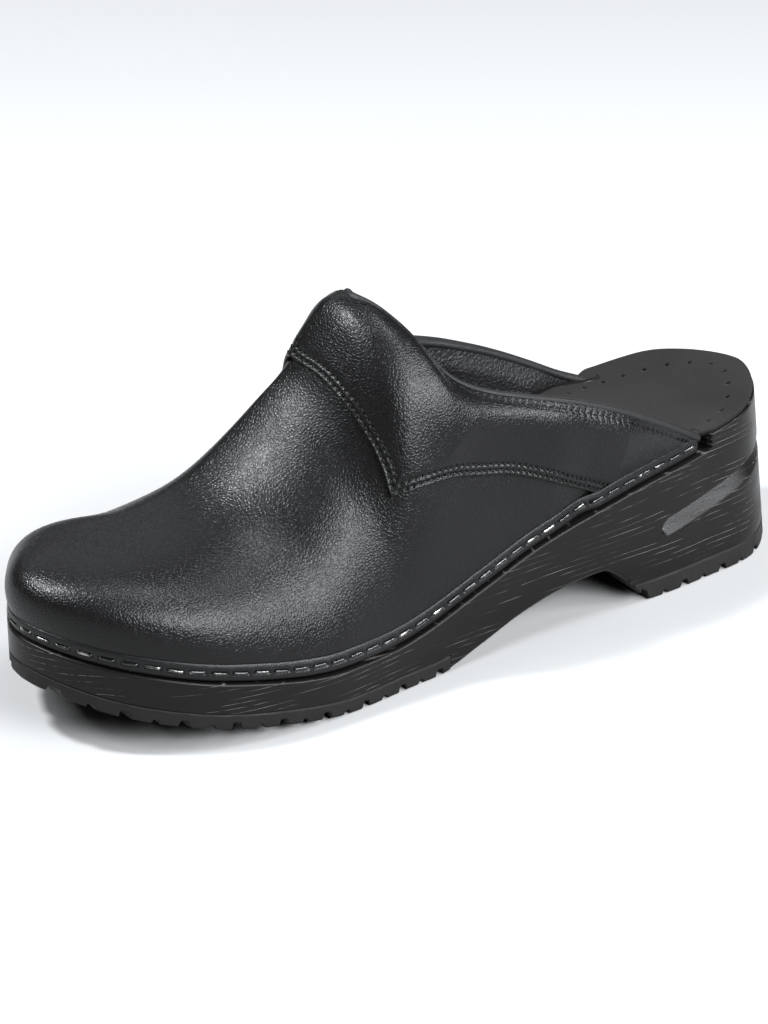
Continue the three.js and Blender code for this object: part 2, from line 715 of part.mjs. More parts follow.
addSolid("sole_block", soleBlock(), 0x2b2826, 0.5);
addSolid("fore_outsole", foreOutsole(), 0x1e1e1e, 0.8);
addSolid("heel_outsole", heelOutsole(), 0x1e1e1e, 0.8);
addSolid("footbed_cushion", footbedCushion(), 0x55524d, 0.9);
addSolid("footbed_sock", footbedSock(), 0x2e2d2d, 0.75);
addSolid(
  "vamp",
  layer(() => 0, () => -VAMP_THICKNESS).intersect(vampSide).subtract(beadRoom),
  0x1c1b1c,
  0.4,
);
addSolid(
  "collar_panel",
  layer(() => COLLAR_THICKNESS + COLLAR_LIFT, () => COLLAR_LIFT)
    .intersect(belowTopline).intersect(behindSeam).subtract(beadRoom),
  0x1c1b1c,
  0.4,
);
addSolid(
  "lining",
  layer((p) => -liningDepth(p), (p) => -liningDepth(p) - LINING_THICKNESS)
    .intersect(belowLining).subtract(beadRoom),
  0x2a2929,
  0.7,
);
addSolid(
  "toe_puff",
  layer(() => -VAMP_THICKNESS - LAYER_GAP, () => -VAMP_THICKNESS - LAYER_GAP - PUFF_THICKNESS)
    .intersect(slice([[-FAR, 30], [-88, 30], [-92, FAR], [-FAR, FAR]])),
  0x6b5f50,
  0.8,
);
for (const [name, chain, y0, y1] of [
  ["collar_padding_lateral", TOPLINE_LATERAL, -WIDE, -6],
  ["collar_padding_medial", TOPLINE_MEDIAL, 6, WIDE],
]) {
  const topEdge = chain.filter(([x]) => x > -6 && x < 62).map(([x, z]) => [x, z - 8]).reverse();
  const zone = slice([...PADDING_EDGE, ...topEdge], y0, y1);
  const foam = layer(() => -0.1, (p) => LAYER_GAP - liningDepth(p));
  addSolid(name, foam.intersect(zone), 0x8a8478, 0.95);
}
addSolid("topline_binding", bindingBody(0), 0x262526, 0.6);
addSolid(
  "staple_strip",
  layer(stripOuter, (p) => stripLift(p.x)).intersect(stripZone)
    .subtract(stapleSlots(poses)).subtract(bindingBody(LAYER_GAP)),
  0x201f20,
  0.5,
);
poses.forEach((pose, i) => {
  const number = String(i + 1).padStart(2, "0");
  const staple = addMesh(`staple_${number}`, stapleGeometry(), 0x2c2b2b, 0.35, 0.8);
  staple.applyMatrix4(pose);
});

clog.position.set(-CENTRE_X, -CENTRE_Y, 0);

export default clog;
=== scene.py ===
import math

import bmesh
import bpy
import numpy as np
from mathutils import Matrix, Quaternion, Vector


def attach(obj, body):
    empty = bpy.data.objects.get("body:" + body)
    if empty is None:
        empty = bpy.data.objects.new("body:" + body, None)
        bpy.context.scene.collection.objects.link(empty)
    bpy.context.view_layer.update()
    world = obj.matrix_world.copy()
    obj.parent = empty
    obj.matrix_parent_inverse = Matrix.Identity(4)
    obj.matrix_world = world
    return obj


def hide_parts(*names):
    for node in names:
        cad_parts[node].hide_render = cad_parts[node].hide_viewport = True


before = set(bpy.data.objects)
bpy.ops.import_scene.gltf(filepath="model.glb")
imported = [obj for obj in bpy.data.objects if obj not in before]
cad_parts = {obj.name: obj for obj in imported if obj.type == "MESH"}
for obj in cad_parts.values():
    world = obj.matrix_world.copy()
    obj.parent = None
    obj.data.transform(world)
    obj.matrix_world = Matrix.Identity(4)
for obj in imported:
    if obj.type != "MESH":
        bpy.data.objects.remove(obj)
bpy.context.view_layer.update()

# ------------------------------------------------------------------ driving dimensions
# Millimetres in the shoe's design frame. to_row() turns them into metres in the row frame.
MM = 0.001
AXES = range(3)
CENTRE = np.array([1.86, 0.88, 0.0])
HALF_LENGTH = 142.5
UPPER_END = 101.5  # where the topline meets the feather edge
RABBET_END = 104.5  # the recess for the upper closes here
RABBET_STEP = 1.1  # over this length
STRIP_END = 99.5
EDGE_X = [-136, -120, -95, -60, -20, 20, 60, 97, 126]
EDGE_LATERAL = [-22, -37.5, -48.5, -52, -47, -42.5, -39.5, -34.5, -26.5]
EDGE_MEDIAL = [15, 38.5, 51, 54, 48, 39, 35.5, 33, 26]
TIP_Y = -3
PEAK_X = -17  # the upper's highest point
SWEEP_START = -20  # ahead of this the leather's rows lean back over the toe
TOE_SWEEP = 42  # by this much at the toe tip
CREST_START = 0.96  # the v from which normals turn to the ridge's own
LEDGE_LIFT = 0.4  # the feather edge above the sole's ledge
COLLAR_LIFT = 0.2  # the collar's inner face above the vamp
VAMP_THICKNESS = 1.6
COLLAR_THICKNESS = 1.5
LINING_THICKNESS = 1.0
PUFF_THICKNESS = 1.0
LAYER_GAP = 0.3
PADDING_DEPTH = 3.2
SOCK_THICKNESS = 1.8
CUSHION_THICKNESS = 3.0
CUSHION_MARGIN = 7.0
RUBBER_THICKNESS = 5.4
FORE_RUBBER_END = -9.0
HEEL_RUBBER_START = 68.2
HEEL_RUBBER_TOP = 7.0
HEEL_BREAST_X = 66.5  # ahead of this the sole's underside is bare wood
FORE_LUG_PITCH = 7.8
HEEL_LUG_PITCH = 9.0
STRIP_HEIGHT = 5.6
STRIP_THICKNESS = 1.4
BEAD_HALF_WIDTH = 2.35
BEAD_HALF_HEIGHT = 1.5
BEAD_LIFT = 0.35
BEAD_DROP = 1.2
STAPLE_CROWN = 5.6
STAPLE_WIRE = 0.9
STAPLE_LEG = 3.4
STAPLE_BEND = 0.7
STAPLE_PITCH = 7.0
STAPLE_TILT = 1.6  # spread of the staples' angle in degrees
STAPLE_DRIFT = (0.12, 0.15)  # spread of their place across and along the strip
WIRE_SECTION = (0.62, 0.42)  # half width and half height of the wire in its own diameters
STITCH_PITCH = 2.3
TOP_STITCH_PITCH = 2.6
SEAM_INSETS = (1.5, 3.5)  # the two rows' distances from the collar's edge
TOP_STITCH_INSET = 4.2
NEEDLE_DENT = (0.62, 0.75)  # radius and depth of the dents between stitches
THREAD_DENT = (0.8, 0.25)  # and under them
HOLE_PITCH = 7.7
HOLE_INSET = 8.5
HOLE_RADIUS = 0.85
HOLE_START = 34
GROOVE_DEPTH = 3.0
GROOVE_HALF = 3.4
GROOVE_START = 80.6
PEAK_ROUNDING = 6.0  # spread of the smoothing where the topline crosses the ridge
FRAME_WINDOW = 15  # points averaged along the binding's path
COLLAR_ROWS = (110, 230, 50)  # along the front seam, the low seam and the feather edge
BULGE_HEIGHT = 4.4  # the foam's push below the binding
BULGE_WIDTH = 34.0
BULGE_CREST = 0.34  # the crest's place across that width

# The camera's direction in degrees, its distance in mm from the floor under the shoe's
# middle, how far it aims to the right of that point and above it, and its lens in mm.
CAMERA_AZIMUTH = -34.5
CAMERA_ELEVATION = 26.58
CAMERA_DISTANCE = 1340.0
CAMERA_AIM_RIGHT = -3.15
CAMERA_AIM_UP = 32.75
CAMERA_LENS = 143.4
LIGHT_COLOUR = (0.95, 0.975, 1.0)
LIGHT_AIM = 0.05  # the height in metres that every light faces
# Name, azimuth and elevation in degrees, distance, width and height in metres, power in
# watts, and how far the top tips to the right in degrees.
LIGHTS = (
    ("softbox_front", 12, 30, 1.5, 1.0, 0.55, 52, 0),
    ("softbox_right", 51, 31, 1.5, 0.42, 0.36, 20, 0),
    ("strip_overhead", 60, 74, 1.5, 0.18, 0.7, 17, 18),
    ("softbox_left", -105, 44, 1.5, 0.35, 0.4, 10, 0),
    ("spot_left", -120, 56, 1.5, 0.2, 0.2, 40, 0),
    ("backlight", 155, 35, 2.4, 2.0, 1.2, 8, 0),
)
FLOOR_HALF = 3.0


def profile(points):
    """A smooth curve through (x, value) pairs, level at its turning points, flat past both ends."""
    xs, ys = np.array(points, float).T
    slope = np.diff(ys) / np.diff(xs)
    inner = np.where(slope[:-1] * slope[1:] <= 0, 0, (slope[:-1] + slope[1:]) / 2)
    tangent = np.r_[slope[0], inner, slope[-1]]

    def value(x):
        x = np.clip(np.asarray(x, float), xs[0], xs[-1])
        i = np.clip(np.searchsorted(xs, x, side="right") - 1, 0, len(xs) - 2)
        span = xs[i + 1] - xs[i]
        t = (x - xs[i]) / span
        a = 2 * t**3 - 3 * t**2 + 1
        bend = (t**3 - 2 * t**2 + t) * tangent[i] + (t**3 - t**2) * tangent[i + 1]
        return a * ys[i] + (1 - a) * ys[i + 1] + span * bend

    return value


tread_z = profile([
    (-142.5, 19), (-125, 13), (-100, 7), (-75, 3), (-45, 0), (-15, 0), (5, 5), (20, 10),
    (40, 14.5), (55, 15.5), (64, 10.5), (76, 0), (142.5, 0),
])
ledge_z = profile([
    (-142.5, 33.5), (-120, 27.5), (-90, 21), (-50, 15.5), (-25, 16.5), (5, 25), (30, 33),
    (70, 41), (101, 44.5), (142.5, 50),
])
rim_z = profile([
    (-142.5, 42), (-120, 36.5), (-90, 30), (-50, 25), (-25, 26.5), (5, 35.5), (20, 40.5),
    (50, 48), (78, 52.4), (98, 51.6), (112, 53), (128, 55.4), (142.5, 56.4),
])
dish_depth = profile([
    (-142.5, 0), (-115, 1.5), (-60, 3), (0, 3), (60, 3.5), (100, 4.5), (120, 4), (142.5, 0),
])
heel_flare = profile([(-142.5, -0.9), (-60, 0), (40, 0.5), (90, 3.5), (142.5, 5.5)])
groove_z = profile([(78, 22.5), (100, 26.5), (142.5, 36.5)])
ridge_y = profile([(-101, 9), (-60, 10), (-40, 7.5), (-31, 5), (-17, 0), (102, 0)])
ridge_z = profile([
    (-101, 56.8), (-90, 57.4), (-80, 59.4), (-70, 63.8), (-57, 73.4), (-44, 85.6), (-36, 94),
    (-29, 106), (-23, 113.6), (-17, 115), (-9.5, 110.5), (-2, 105), (8, 102.5), (28, 103),
    (102, 104),
])
fullness_lateral = profile([
    (-143, 1.4), (-115, 1.05), (-85, 0.72), (-55, 0.42), (-33, 0.42), (-17, 0.7), (20, 0.75),
    (60, 0.9), (102, 0.9),
])
fullness_medial = profile([
    (-143, 1.4), (-130, 1.05), (-115, 0.44), (-85, 0.2), (-55, -0.05), (-31, -0.1), (-17, 0.4),
    (20, 0.8), (60, 1), (102, 1),
])
feather_inset = profile([(-143, 3), (34, 3), (51, 4.4), (102, 4.4)])
strip_lift = profile([(-143, 0), (46, 0), (55, 1.7), (102, 1.7)])
rear_blend = profile([(74.5, 0), (85, 1)])
medial_drop = profile([(8, 0), (25, 2.4), (86, 3.6), (102, 1)])

# Side-view curves of the upper, as (x, z).
TOPLINE = [
    (-17.5, 115), (-13.6, 112.9), (-9.5, 108.8), (-5.5, 103.6), (-2, 97.4), (2, 92.7), (8, 89),
    (16, 85.8), (28.6, 82.3), (43, 78.3), (60, 71.8), (80, 61.9), (94, 54), (102, 49),
]
SEAM_FRONT = [
    (-35.2, 98), (-34.2, 96.3), (-33.2, 95.2), (-32.4, 93.2), (-31.6, 90.3), (-30.4, 86.2),
    (-29.2, 80.5), (-28.2, 75.6), (-27.6, 69.6), (-27.3, 63.3),
]
SEAM_LOW = [
    (-27.3, 63.3), (-18, 65.5), (-6.6, 65.3), (6, 62.7), (17.6, 60), (29.7, 55.2), (42, 49.1),
    (51.5, 44.3), (61, 39),
]
UNDERLAP_FRONT = [(-27, 112), (-26, 102), (-23.5, 91), (-21, 82), (-19.6, 74.2)]
UNDERLAP_LOW = [
    (-19.6, 74.2), (-7, 73.5), (7, 70.8), (20, 67), (33, 62), (45, 57), (55, 52), (64, 47),
    (73.5, 39),
]

CONTROL = np.array(
    [(-HALF_LENGTH, TIP_Y)]
    + list(zip(EDGE_X, EDGE_LATERAL))
    + [(HALF_LENGTH, 0)]
    + list(zip(EDGE_X, EDGE_MEDIAL))[::-1],
    float,
)
KNOTS = len(CONTROL)


def smooth(t):
    t = np.clip(t, 0, 1)
    return t * t * (3 - 2 * t)


def unit(vectors):
    return vectors / np.linalg.norm(vectors, axis=-1, keepdims=True)


def run_length(points):
    """Distance along a polyline at each of its points."""
    return np.r_[0, np.cumsum(np.linalg.norm(np.diff(points, axis=0), axis=1))]


def spline(a, b, c, d, t):
    """Catmull-Rom curve from b to c, with a and d as their neighbours."""
    bend = (2 * a - 5 * b + 4 * c - d) * t**2 + (3 * b - a - 3 * c + d) * t**3
    return 0.5 * (2 * b + (c - a) * t + bend)


def edge(k, outwards=0.0):
    """Outline points and outward normals at knot numbers k: 0 toe tip, negative lateral."""
    p = np.mod(-np.asarray(k, float), KNOTS)
    i = np.floor(p).astype(int) % KNOTS
    t = (p - np.floor(p))[..., None]
    a, b, c, d = (CONTROL[(i + s) % KNOTS] for s in (-1, 0, 1, 2))
    along = (c - a) + 2 * (2 * a - 5 * b + 4 * c - d) * t + 3 * (3 * b - a - 3 * c + d) * t**2
    normal = unit(np.stack([along[..., 1], -along[..., 0]], -1))
    return spline(a, b, c, d, t) + normal * np.asarray(outwards, float)[..., None], normal


_K = np.linspace(0, KNOTS / 2, 4001)
_X = edge(_K)[0][:, 0]
_Y_MEDIAL = edge(_K)[0][:, 1]
_Y_LATERAL = edge(-_K)[0][:, 1]


def knot_at(x):
    return np.interp(x, _X, _K)


def across(x, y):
    """The place of (x, y) between the outline's two sides, -1 lateral to 1 medial."""
    low = np.interp(x, _X, _Y_LATERAL)
    high = np.interp(x, _X, _Y_MEDIAL)
    width = np.maximum(high - low, 1e-6)
    return np.where(width < 1, 1, np.clip(2 * (y - low) / width - 1, -1, 1))


KNOT_END = float(knot_at(UPPER_END))


# ------------------------------------------------------------------ the upper's surface
def ridge_slope(x):
    """Slope of the instep ridge, level behind the peak."""
    return np.where(x > PEAK_X, 0, ridge_z(x + 0.5) - ridge_z(x - 0.5))


def leather(k, v):
    """Reference surface of the leather: v runs from the feather edge (0) to the instep ridge (1)."""
    k, v = np.broadcast_arrays(np.asarray(k, float), np.asarray(v, float))
    point, normal = edge(k)
    x = point[..., 0]
    foot = point - normal * feather_inset(x)[..., None]
    foot_z = ledge_z(x) + LEDGE_LIFT
    reach = np.maximum(0, (SWEEP_START - x) / (HALF_LENGTH + SWEEP_START)) ** 3
    ridge_x = x + TOE_SWEEP * reach
    ridge_height = ridge_z(ridge_x)
    ridge = np.stack([ridge_x, ridge_y(ridge_x)], -1)
    slope = ridge_slope(ridge_x)
    m = np.where(k < 0, fullness_lateral(x), fullness_medial(x))[..., None]
    height = ridge_height - foot_z
    inward = foot - ridge
    low = foot + normal * (6 * m - 1)
    mid = ridge + inward * (0.6 + 0.38 * m)
    high = ridge + inward * (0.2 + 0.4 * m)
    m = m[..., 0]
    z = [
        foot_z,
        foot_z + height * (0.2 + 0.3 * m),
        foot_z + height * (0.5 + 0.45 * m),
        ridge_height + slope * (high[..., 0] - ridge_x),
        ridge_height,
    ]
    w = 1 - v
    weights = [w**4, 4 * w**3 * v, 6 * w**2 * v**2, 4 * w * v**3, v**4]
    flat = sum(b[..., None] * q for b, q in zip(weights, [foot, low, mid, high, ridge]))
    return np.concatenate([flat, sum(b * q for b, q in zip(weights, z))[..., None]], -1)


def leather_normal(k, v):
    """Outward normals of the leather."""
    k, v = np.broadcast_arrays(np.asarray(k, float), np.asarray(v, float))
    along = leather(k + 0.02, v) - leather(k - 0.02, v)
    up = leather(k, np.minimum(1, v + 0.01)) - leather(k, np.maximum(0, v - 0.01))
    normal = -np.cross(along, up)
    normal /= np.maximum(np.linalg.norm(normal, axis=-1, keepdims=True), 1e-9)
    x = leather(k, np.ones_like(v))[..., 0]
    crest = unit(np.stack([-ridge_slope(x), np.zeros_like(x), np.ones_like(x)], -1))
    blend = smooth((v - CREST_START) / (1 - CREST_START))[..., None]
    return unit(normal * (1 - blend) + crest * blend)


def chain_distance(chain, x, z):
    """Shortest side-view distance from points to a chain of points."""
    best = np.full(np.shape(x), np.inf)
    for (ax, az), (bx, bz) in zip(chain, chain[1:]):
        dx, dz = bx - ax, bz - az
        t = np.clip(((x - ax) * dx + (z - az) * dz) / (dx**2 + dz**2), 0, 1)
        best = np.minimum(best, np.hypot(x - ax - t * dx, z - az - t * dz))
    return best


def lining_depth(point):
    """Depth of the lining below the leather: full over the foam, thin at the edges."""
    x, z = point[..., 0], point[..., 2]
    top = smooth((chain_distance(TOPLINE, x, z) - 3) / 9)
    low = 1 - rear_blend(x) * (1 - smooth((z - ledge_z(x) - 3) / 12))
    return LAYER_GAP + (PADDING_DEPTH - LAYER_GAP) * top * low


def resample(points, count, *others):
    """Evenly spaced copies of a polyline, and of the values that go with its points."""
    run = run_length(points)
    even = np.linspace(0, run[-1], count)
    return [np.interp(even, run, o) for o in others]


def height_v(k, z, top=1.0):
    """The v at which the leather passes height z, found by halving between 0 and top."""
    low, high = np.zeros_like(k), np.full_like(k, top)
    for _ in range(26):
        middle = (low + high) / 2
        below = leather(k, middle)[..., 2] < z
        low = np.where(below, middle, low)
        high = np.where(below, high, middle)
    return low


def solve_place(side, x, z):
    """Knots and v where the leather passes side-view points (x, z) on one side."""
    k = side * knot_at(x)
    for _ in range(4):
        v = height_v(k, z)
        drift = leather(k, v)[..., 0] - x
        k = side * knot_at(edge(k)[0][..., 0] - drift)
    return k, np.where(v > 0.9999, 1.0, v)


def chain_curve(chain, count):
    """A smooth side-view curve through a chain, as dense x and z."""
    points = np.array(chain, float)
    padded = np.vstack([2 * points[0] - points[1], points, 2 * points[-1] - points[-2]])
    t = np.linspace(0, 1, count, endpoint=False)[:, None]
    rows = []
    for i in range(len(points) - 1):
        rows.append(spline(*padded[i : i + 4], t))
    rows.append(points[-1:])
    return np.vstack(rows).T


def curve_on_leather(side, chain, count):
    """A side-view chain laid on the leather, as count even places (k, v)."""
    x, z = chain_curve(chain, 40)
    k, v = solve_place(side, x, z)
    return resample(leather(k, v), count, k, v)


def round_peak(k, v):
    """Rounds the topline where it crosses the ridge: k is mirrored there, and 1 - v changes sign."""
    run = run_length(leather(k, v))
    near = run < 60
    s = np.r_[-run[near][:0:-1], run[near]]
    even = np.r_[k[near][:0:-1], k[near]]
    odd = np.r_[-(1 - v[near][:0:-1]), 1 - v[near]]
    weight = np.exp(-(((s[None] - run[near][:, None]) / PEAK_ROUNDING) ** 2))
    weight /= weight.sum(axis=1, keepdims=True)
    mix = 1 - smooth((run[near] - 22) / 26)
    k, v = k.copy(), v.copy()
    k[near] += mix * (weight @ even - k[near])
    v[near] += mix * (1 - weight @ odd - v[near])
    v[0] = 1.0
    return k, v


def topline_places(side, count):
    """The topline on one side from the peak to the rear, as count even places (k, v)."""
    drop = medial_drop if side > 0 else (lambda x: 0 * x)
    height = profile(TOPLINE)
    x = TOPLINE[0][0] + np.linspace(0, 1, 900) ** 2 * (UPPER_END - TOPLINE[0][0])
    k, v = solve_place(side, x, height(x) - drop(x))
    v[0] = 1.0
    k, v = round_peak(*resample(leather(k, v), 700, k, v))
    return resample(leather(k, v), count, k, v)


# ------------------------------------------------------------------ mesh helpers
def to_row(points):
    return (np.asarray(points, float).reshape(-1, 3) - CENTRE) * MM


def make_mesh(name, points, faces, material, weld=0.004):
    """A piece from points in mm and faces, with coinciding points joined and smooth shading."""
    mesh = bpy.data.meshes.new(name)
    mesh.from_pydata(to_row(points).tolist(), [], faces)
    bm = bmesh.new()
    bm.from_mesh(mesh)
    bmesh.ops.remove_doubles(bm, verts=bm.verts, dist=weld * MM)
    bmesh.ops.dissolve_degenerate(bm, edges=bm.edges, dist=weld * MM * 0.5)
    loose = [v for v in bm.verts if not v.link_faces]
    bmesh.ops.delete(bm, geom=loose, context="VERTS")
    bmesh.ops.recalc_face_normals(bm, faces=bm.faces)
    for face in bm.faces:
        face.smooth = True
    bm.to_mesh(mesh)
    bm.free()
    mesh.materials.append(material)
    obj = bpy.data.objects.new(name, mesh)
    bpy.context.scene.collection.objects.link(obj)
    return obj


def grid_faces(rows, cols, start=0, flip=False, closed=False):
    faces = []
    for i in range(rows - 1):
        for j in range(cols if closed else cols - 1):
            a, b = start + i * cols + j, start + i * cols + (j + 1) % cols
            quad = (a, b, b + cols, a + cols)
            faces.append(quad[::-1] if flip else quad)
    return faces


def patch_distances(middle):
    """Distance of each grid point from the near and the far side, along its row."""
    step = np.linalg.norm(np.diff(middle, axis=1), axis=-1)
    run = np.concatenate([np.zeros((middle.shape[0], 1)), np.cumsum(step, axis=1)], axis=1)
    return run, run[:, -1:] - run


def edge_round(middle, radius, open_sides):
    """How full the thickness is, 0 at each real edge of a grid to 1 past the rounding radius.
    open_sides names the grid's sides that are joined to something: 'i0', 'i1', 'j0', 'j1'."""
    near_j, far_j = patch_distances(middle)
    near_i, far_i = (run.T for run in patch_distances(middle.swapaxes(0, 1)))
    distance = np.full(middle.shape[:2], 1e3)
    for name, run in (("i0", near_i), ("i1", far_i), ("j0", near_j), ("j1", far_j)):
        if name not in open_sides:
            distance = np.minimum(distance, run)
    t = np.clip(distance / radius, 0, 1)
    return np.sqrt(np.maximum(0, 1 - (1 - t) ** 2))


def sheet_body(middle, half, full):
    """Points and faces of a thin body: middle sheet, half thickness vectors, fullness 0 to 1."""
    half = half * full[..., None]
    rows, cols = middle.shape[:2]
    points = np.concatenate([(middle + half).reshape(-1, 3), (middle - half).reshape(-1, 3)])
    return points, grid_faces(rows, cols) + grid_faces(rows, cols, rows * cols, flip=True)


def shell(middle, half, open_sides=(), radius=0.7):
    """A thin body with every edge rounded except the open sides."""
    return sheet_body(middle, half, edge_round(middle, radius, open_sides))


def join(parts):
    """One points array and face list from several."""
    points, faces, start = [], [], 0
    for p, f in parts:
        points.append(p)
        faces += [tuple(i + start for i in face) for face in f]
        start += len(p)
    return np.concatenate(points), faces


def columns_mm(length, near, far, count):
    """Distances across a patch: the near list from one side, the far list from the other."""
    total = near[-1] + far[-1]
    scale = min(1.0, 0.7 * length / total)
    a = np.array(near) * scale
    b = length - np.array(far)[::-1] * scale
    middle = np.linspace(a[-1], b[0], count + 2)[1:-1]
    return np.concatenate([a, middle, b]) / max(length, 1e-9)


def ruled_places(start, end, near, far, count):
    """A grid of places (k, v) between two rows of places, spaced by length on the leather."""
    fraction = np.linspace(0, 1, 70)
    ks, vs = [], []
    for k0, v0, k1, v1 in zip(*start, *end):
        k = k0 + (k1 - k0) * fraction
        v = v0 + (v1 - v0) * fraction
        line = leather(k, v)
        run = run_length(line)
        cols = columns_mm(run[-1], near, far, count)
        f = np.interp(cols * run[-1], run, fraction) if run[-1] > 1e-6 else cols
        ks.append(k0 + (k1 - k0) * f)
        vs.append(v0 + (v1 - v0) * f)
    return np.array(ks), np.array(vs)


EDGE_COLS = [0, 0.08, 0.25, 0.5, 0.8, 1.2, 1.6, 2.0, 2.4, 2.8, 3.2, 3.6, 4.2, 5.0, 6.0]
LINING_COLS = [0, 0.2, 0.6, 1.5, 3]
VAMP_COLS = [0, 0.1, 0.4, 0.9, 1.8, 3]
END_COLS = [0, 0.08, 0.25, 0.5, 0.8, 1.2, 1.8, 2.6, 3.6, 5.0]


# ------------------------------------------------------------------ collar
def collar_places(side):
    """Rows from the seam and the feather edge up to the topline, on one side."""
    counts = COLLAR_ROWS
    front = curve_on_leather(side, SEAM_FRONT, counts[0])
    low = curve_on_leather(side, SEAM_LOW, counts[1])
    k_rear = side * np.linspace(abs(low[0][-1]), KNOT_END, counts[2])
    start_k = np.r_[front[0], low[0][1:], k_rear[1:]]
    start_v = np.r_[front[1], low[1][1:], 0 * k_rear[1:]]
    start_v[counts[0] + counts[1] - 2 :] = 0
    top = topline_places(side, 2000)
    top_x = leather(*top)[..., 0]
    run = run_length(leather(*top))
    marks = np.interp([6.0, 66.0], top_x, run)
    stations = np.concatenate([
        np.linspace(0, marks[0], counts[0]),
        np.linspace(marks[0], marks[1], counts[1])[1:],
        np.linspace(marks[1], run[-1], counts[2])[1:],
    ])
    end = (np.interp(stations, run, top[0]), np.interp(stations, run, top[1]))
    return (start_k, start_v), end


def collar_bulge(distance_top, distance_seam, x):
    """How far the foam pushes the collar out below the binding."""
    width = np.minimum(BULGE_WIDTH, 0.9 * (distance_top + distance_seam))
    place = distance_top / width
    rise = np.sin(np.pi / 2 * np.clip(place / BULGE_CREST, 0, 1))
    fall = 1 - smooth((place - BULGE_CREST) / (1 - BULGE_CREST))
    along = smooth((x + 20) / 16) * (1 - 0.6 * smooth((x - 60) / 36))
    height = BULGE_HEIGHT * width / BULGE_WIDTH
    return height * rise * fall * along * smooth(distance_seam / 6)


def collar_sheet(side, depth=COLLAR_LIFT + COLLAR_THICKNESS / 2):
    """Middle sheet and normals of the collar on one side."""
    start, end = collar_places(side)
    k, v = ruled_places(start, end, EDGE_COLS, END_COLS, 30)
    base, normal = leather(k, v), leather_normal(k, v)
    seam, top = patch_distances(base)
    lift = depth + collar_bulge(top, seam, base[..., 0])
    return base + normal * lift[..., None], normal


def press(points, spots, directions, radius, depth):
    """Pushes points down round each spot, as a needle and a tight thread do."""
    for spot, direction in zip(spots, directions):
        near = np.flatnonzero(np.abs(points - spot).max(axis=1) < 2.5 * radius)
        gap = np.linalg.norm(points[near] - spot, axis=1)
        points[near] -= direction * (depth * np.exp(-((gap / radius) ** 2)))[:, None]
    return points


def build_collar(material):
    parts = []
    for side in (-1, 1):
        middle, normal = collar_sheet(side)
        points, faces = shell(middle, normal * COLLAR_THICKNESS / 2, open_sides=("i0",))
        for path, normals, pitch in stitch_rows(middle, normal):
            centres, ups, _ = stitch_places(path, normals, pitch)
            between, between_ups = (centres[1:] + centres[:-1]) / 2, (ups[1:] + ups[:-1]) / 2
            points = press(points, between, between_ups, *NEEDLE_DENT)
            points = press(points, centres, ups, *THREAD_DENT)
        parts.append((points, faces))
    return make_mesh("collar", *join(parts), material)


# ------------------------------------------------------------------ vamp, puff, lining
def vamp_places(side):
    """Rows from the feather edge up to the ridge or the hidden edge under the collar."""
    stations = [(-60, -40, 22), (-40, -6, 34), (-6, 73.5, 60)]
    start_k = side * np.linspace(0, 1, 40) * knot_at(-60)
    end = [start_k.copy()], [np.ones_like(start_k)]
    for (a, b, count), chain in zip(stations, (None, UNDERLAP_FRONT, UNDERLAP_LOW)):
        start_k = np.r_[start_k, side * np.linspace(knot_at(a), knot_at(b), count)[1:]]
        if chain is None:
            k = side * np.linspace(knot_at(-60), knot_at(-29.6), count)
            v = np.ones_like(k)
        else:
            k, v = curve_on_leather(side, chain, count)
        end[0].append(k[1:])
        end[1].append(v[1:])
    end_v = np.concatenate(end[1])
    end_v[-1] = 0.02
    return (start_k, np.zeros_like(start_k)), (np.concatenate(end[0]), end_v)


def build_vamp(material):
    parts = []
    for side in (-1, 1):
        k, v = ruled_places(*vamp_places(side), VAMP_COLS, VAMP_COLS, 44)
        normal = leather_normal(k, v)
        middle = leather(k, v) - normal * (VAMP_THICKNESS / 2)
        ridge = v[:, -1] > 0.999
        full = edge_round(middle, 0.7, ("i0", "j1"))
        hidden = edge_round(middle, 0.7, ("i0", "j0"))
        full = np.where(ridge[:, None], full, np.minimum(full, hidden))
        parts.append(sheet_body(middle, normal * (VAMP_THICKNESS / 2), full))
    return make_mesh("vamp_leather", *join(parts), material)


def build_puff(material):
    parts = []
    for side in (-1, 1):
        k = side * np.linspace(0, float(knot_at(-92)), 50)
        v = np.linspace(0.16, 1, 40)
        k, v = np.meshgrid(k, v, indexing="ij")
        normal = leather_normal(k, v)
        middle = leather(k, v) - normal * (VAMP_THICKNESS + LAYER_GAP + PUFF_THICKNESS / 2)
        parts.append(shell(middle, normal * PUFF_THICKNESS / 2, open_sides=("i0", "j1")))
    return make_mesh("toe_stiffener", *join(parts), material)


def build_lining(material):
    """The lining runs from the feather edge to the ridge, and behind the peak to the binding."""
    parts = []
    for side in (-1, 1):
        front = side * np.linspace(0, float(knot_at(TOPLINE[0][0])), 70)
        top = topline_places(side, 110)
        start_k = np.r_[front, top[0][1:]]
        end_v = np.r_[np.ones_like(front), top[1][1:]]
        start = (start_k, np.zeros_like(start_k))
        k, v = ruled_places(start, (start_k, end_v), LINING_COLS, END_COLS, 40)
        base, normal = leather(k, v), leather_normal(k, v)
        middle = base - normal * (lining_depth(base) + LINING_THICKNESS / 2)[..., None]
        full = edge_round(middle, 0.45, ("i0", "j1"))
        rim = edge_round(middle, 0.45, ("i0", "j0"))
        behind = (np.arange(len(start_k)) >= len(front))[:, None]
        full = np.where(behind, np.minimum(full, rim), full)
        parts.append(sheet_body(middle, normal * (LINING_THICKNESS / 2), full))
    return make_mesh("lining_leather", *join(parts), material)


